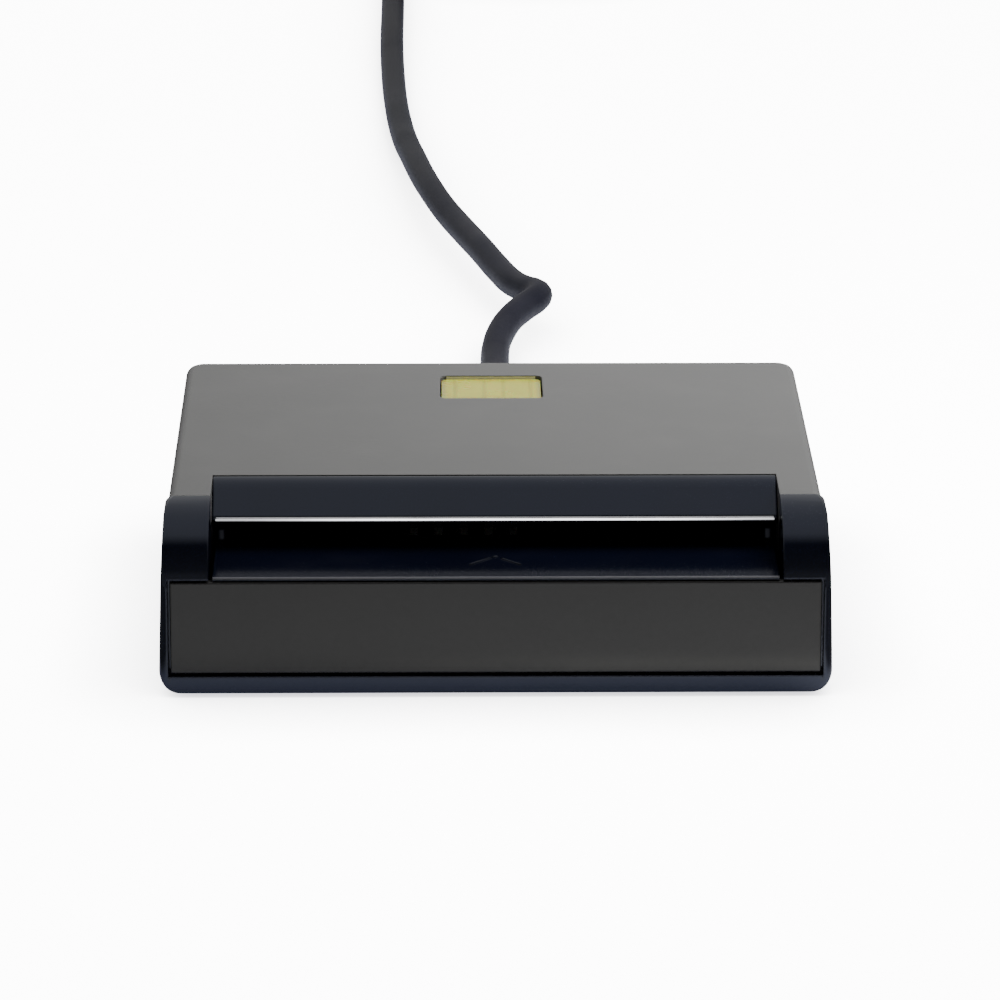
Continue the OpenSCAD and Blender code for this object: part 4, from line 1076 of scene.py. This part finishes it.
def make_board():
    material, tree, shader, where = start_material("circuit_board", Coat_Weight=0.5)
    axes = millimetres(tree, where)
    tracks = calc(tree, "MAXIMUM", track_mask(tree, axes["X"], axes["Y"]),
                  track_mask(tree, axes["Y"], axes["X"]))
    cells = put(tree, "TexVoronoi", {"Vector": where, "Scale": HOLE_SCALE})
    hole = reach(tree, cells.outputs["Distance"], *HOLE_BAND)
    weave = noise(tree, where, WEAVE_SCALE, 1.0, WEAVE_STRETCH)
    base = mix(tree, tracks, mix(tree, weave, *LACQUER), TRACK_GREEN)
    base = mix(tree, hole, base, HOLE_TIN)
    settled = apply_group(tree, dust, Vector=where)["Mask"]
    base = mix(tree, calc(tree, "MULTIPLY", settled, BOARD_DUST), base, DUST_COLOUR)
    feed(shader, "Base Color", base)
    feed(shader, "Metallic", hole)
    smear = apply_group(tree, grease, Vector=where)["Value"]
    feed(shader, "Roughness", calc(tree, "MULTIPLY_ADD", smear, SMEAR_BLUR, BOARD_ROUGH))
    set_bump(tree, shader, tracks, TRACK_DEPTH)
    return material


finishes["circuit_board"] = make_board()
print("tracks every", TRACK_PITCH, "mm")

# %% [markdown]
# The four thin wires have the colours that tell them apart, and one network serves all: it
# picks the colour by the island of the mesh that it is on. The lead's jacket is soft vinyl,
# drawn through a die, so it has faint lines along its length, and it has picked up dust.

# %% Wires and jacket
WIRE_COLOURS = [rgb(0.5, 0.02, 0.015), rgb(0.75, 0.75, 0.72), rgb(0.02, 0.28, 0.05),
                rgb(0.015, 0.015, 0.016)]
WIRE_SKIN = 7000.0
WIRE_ROUGH = (0.32, 0.5)
WIRE_DEPTH = 0.003 * MM


def make_wires():
    material, tree, shader, where = start_material("wire_vinyl", Coat_Weight=0.15)
    island = put(tree, "NewGeometry").outputs["Random Per Island"]
    base = WIRE_COLOURS[0]
    for i, colour in enumerate(WIRE_COLOURS[1:], start=1):
        chosen = calc(tree, "GREATER_THAN", island, i / len(WIRE_COLOURS))
        base = mix(tree, chosen, base, colour)
    feed(shader, "Base Color", base)
    add_skin(tree, shader, where, WIRE_SKIN, WIRE_ROUGH, WIRE_DEPTH)
    return material


finishes["wire_red"] = make_wires()
finishes["lead_jacket"] = moulded(
    "lead_jacket", colour=rgb(0.008, 0.008, 0.014), second=rgb(0.012, 0.012, 0.019), rough=0.5,
    skin=2600.0, depth=0.006, drift=90.0, greasy=0.1, scratched=0.05, worn=0.0, dusty=0.1,
    Specular_Tint=rgb(0.85, 0.88, 1), Specular_IOR_Level=0.27)
print("finishes:", len(finishes))

# %% [markdown]
# The materials go on by slot: each new piece carries the slot that it fills, and the
# carried-over solids under them get the same finish in their own slots.


# %% Dressing
def dress(piece, material):
    piece.data.materials.clear()
    piece.data.materials.append(material)


hand_over(lead, "lead_jacket", ["usb_cord", "cord_coil", "plug_lead"])
for piece, slot in finished.values():
    dress(piece, finishes[slot])
for source in frame["nodes"].values():
    for i, material in enumerate(source.data.materials):
        source.data.materials[i] = finishes[material.name.split(".")[0]]
print("dressed", len(finished), "pieces and", len(frame["nodes"]), "solids with",
      len(finishes), "finishes")

# %% [markdown]
# The reader stands on a plain white table. The plane is so large that its edge is never
# seen. In the photograph the table is burnt out to white while the reader stays dark. Lamps
# that strong would wash out the gloss, so the glare is added for the camera alone. It fades
# where the sky is covered, which leaves the soft shadow under the body.
# What the reader mirrors is a table in ordinary light with painted reflections, seen by glossy
# rays
# alone: painted shade beyond both sides stands for gray cards and keeps the posts' edges dark,
# the strip at the body's foot gets a painted cool tint in its shade, and a painted bright band
# in front on the right stands for a white card and puts the pale band low on the panel.

# %% Table
FLOOR_HALF = 0.45
FLOOR_PLACE = (0, 0.14, 0)
TABLE_WHITES = (rgb(0.86, 0.86, 0.87), rgb(0.88, 0.88, 0.89))
TABLE_DRIFT = 4.0
TABLE_ROUGH = (0.8, 0.9)
TABLE_GLARE = 12.0
SHADE_REACH = 14 * MM
SHADE_CURVE = 1.6
# Outside this span, glossy rays see the table painted in shade gray.
MIRROR_UNSHADED_SPAN = (0.0, 37 * MM, 6 * MM)
SHADE_GRAY = rgb(0.12, 0.12, 0.13)
MIRRORED_SHARE = 0.82
MIRRORED_GLARE = 0.2
WHITE = rgb(1, 1, 1)
# A painted cool tint on the mirrored strip at the body's foot.
FOOT_SPAN = (-33.7 * MM, -32.2 * MM)
FOOT_BLUE = rgb(1.5, 1.65, 2.4)
# A painted reflection: a bright band on the table in front, on the right, for glossy rays.
PAINTED_BAND_SPAN = (-35.7 * MM, 1.2 * MM, 1.0 * MM)
PAINTED_BAND_FADE = (-22 * MM, 18 * MM)
PAINTED_BAND_WHITE = rgb(3.7, 3.7, 3.4)


def add_floor():
    bpy.ops.mesh.primitive_plane_add(size=2 * FLOOR_HALF, location=FLOOR_PLACE)
    floor = bpy.context.object
    floor.name = "floor"
    return floor


def make_table_paint():
    material, tree, shader, where = start_material("table_white")
    drift = apply_group(tree, tone_drift, Vector=where, Scale=TABLE_DRIFT)["Value"]
    rays = put(tree, "LightPath").outputs
    place = put(tree, "VectorMath", {0: where, 1: FLOOR_PLACE}, operation="ADD").outputs[0]
    axes = split(tree, place)
    # Beyond the span, glossy rays see painted shade.
    between = band(tree, axes["X"], *MIRROR_UNSHADED_SPAN)
    kept = calc(tree, "MULTIPLY", between, MIRRORED_SHARE)
    lost = calc(tree, "MULTIPLY", rays["Is Glossy Ray"], calc(tree, "SUBTRACT", 1.0, kept))
    feed(shader, "Base Color", mix(tree, lost, mix(tree, drift, *TABLE_WHITES), SHADE_GRAY))
    feed(shader, "Roughness", reach(tree, drift, 0, 1, *TABLE_ROUGH))
    open_sky = put(tree, "AmbientOcclusion", {"Distance": SHADE_REACH}, samples=8).outputs["AO"]
    glare = mix(tree, calc(tree, "POWER", open_sky, SHADE_CURVE), SHADE_GRAY, WHITE)
    mirrored = mix(tree, reach(tree, axes["Y"], *FOOT_SPAN), WHITE, FOOT_BLUE)
    # The painted bright band, seen in gloss only.
    painted_band = calc(tree, "MULTIPLY", band(tree, axes["Y"], *PAINTED_BAND_SPAN),
                reach(tree, axes["X"], *PAINTED_BAND_FADE))
    mirrored = mix(tree, painted_band, mirrored, PAINTED_BAND_WHITE)
    feed(shader, "Emission Color", mix(tree, rays["Is Glossy Ray"], glare, mirrored))
    to_gloss = calc(tree, "MULTIPLY", rays["Is Glossy Ray"], between)
    to_gloss = calc(tree, "MULTIPLY", to_gloss, MIRRORED_GLARE)
    strength = calc(tree, "MULTIPLY_ADD", rays["Is Camera Ray"], TABLE_GLARE, to_gloss)
    feed(shader, "Emission Strength", strength)
    return material


floor = add_floor()
dress(floor, make_table_paint())
print("table:", 2 * FLOOR_HALF, "m wide")

# %% [markdown]
# The light is that of a small product studio: one broad soft lamp overhead, a small one close
# over the right half that makes the top grow lighter to that side, and a bright surround that
# is dark only in front, where the camera stands. That dark part is what the rolled shoulders
# and the hood mirror, so their gloss runs from gray at the top to black below. The surround
# is a ramp along one tilted axis, read off the shoulders; what it adds to matt surfaces is
# turned down a little. The lamps are hidden from the camera and from reflections, or they
# would print squares on the gloss.

# %% Light
LAMPS = {
    "key": {"place": Vector((0.25, 0.15, 1.1)), "size": 1.1, "power": 2.2},
    "side": {"place": Vector((0.06, 0.04, 0.13)), "size": 0.1, "power": 0.37},
}
LAMP_AIM = Vector((0, 0.02, 0))
SKY_AXIS = (0, 0.899, 0.438)
SKY_STOPS = [
    (-0.9, 0.32), (-0.725, 0.22), (-0.63, 0.1), (-0.45, 0.07), (-0.06, 0.03), (0.01, 0.15),
    (0.07, 0.3), (0.2, 0.58), (0.45, 0.6), (0.66, 0.58),
]
SKY_SEEN = 13.0
SKY_FILL = 0.55


def add_lamp(name, place, size, power):
    data = bpy.data.lights.new(name, "AREA")
    data.size = size
    data.energy = power
    lamp = add_object(name, data)
    lamp.location = place
    lamp.rotation_euler = (LAMP_AIM - place).to_track_quat("-Z", "Y").to_euler()
    lamp.visible_glossy = False
    lamp.visible_camera = False


def add_sky():
    world = bpy.data.worlds.new("studio")
    bpy.context.scene.world = world
    world.use_nodes = True
    tree = world.node_tree
    background = tree.nodes["Background"]
    background.inputs["Color"].default_value = WHITE
    way = put(tree, "TexCoord").outputs["Generated"]
    height = put(tree, "VectorMath", {0: way, 1: SKY_AXIS}, operation="DOT_PRODUCT")
    share = calc(tree, "MULTIPLY_ADD", height.outputs["Value"], 1 / 2, 1 / 2)
    ramp = put(tree, "ValToRGB", {"Fac": share})
    stops = ramp.color_ramp.elements
    for _ in SKY_STOPS[2:]:
        stops.new(0)
    for stop, (along, level) in zip(stops, SKY_STOPS):
        stop.position = (along + 1) / 2
        stop.color = rgb(level, level, level)
    rays = put(tree, "LightPath").outputs
    fill = reach(tree, rays["Is Diffuse Ray"], 0, 1, 1, SKY_FILL)
    glow = calc(tree, "MULTIPLY", ramp.outputs["Color"], fill)
    inputs = {0: rays["Is Camera Ray"], 2: glow, 3: SKY_SEEN}
    strength = put(tree, "Mix", inputs, data_type="FLOAT").outputs[0]
    tree.links.new(strength, background.inputs["Strength"])


for name, lamp in LAMPS.items():
    add_lamp(name, **lamp)
add_sky()
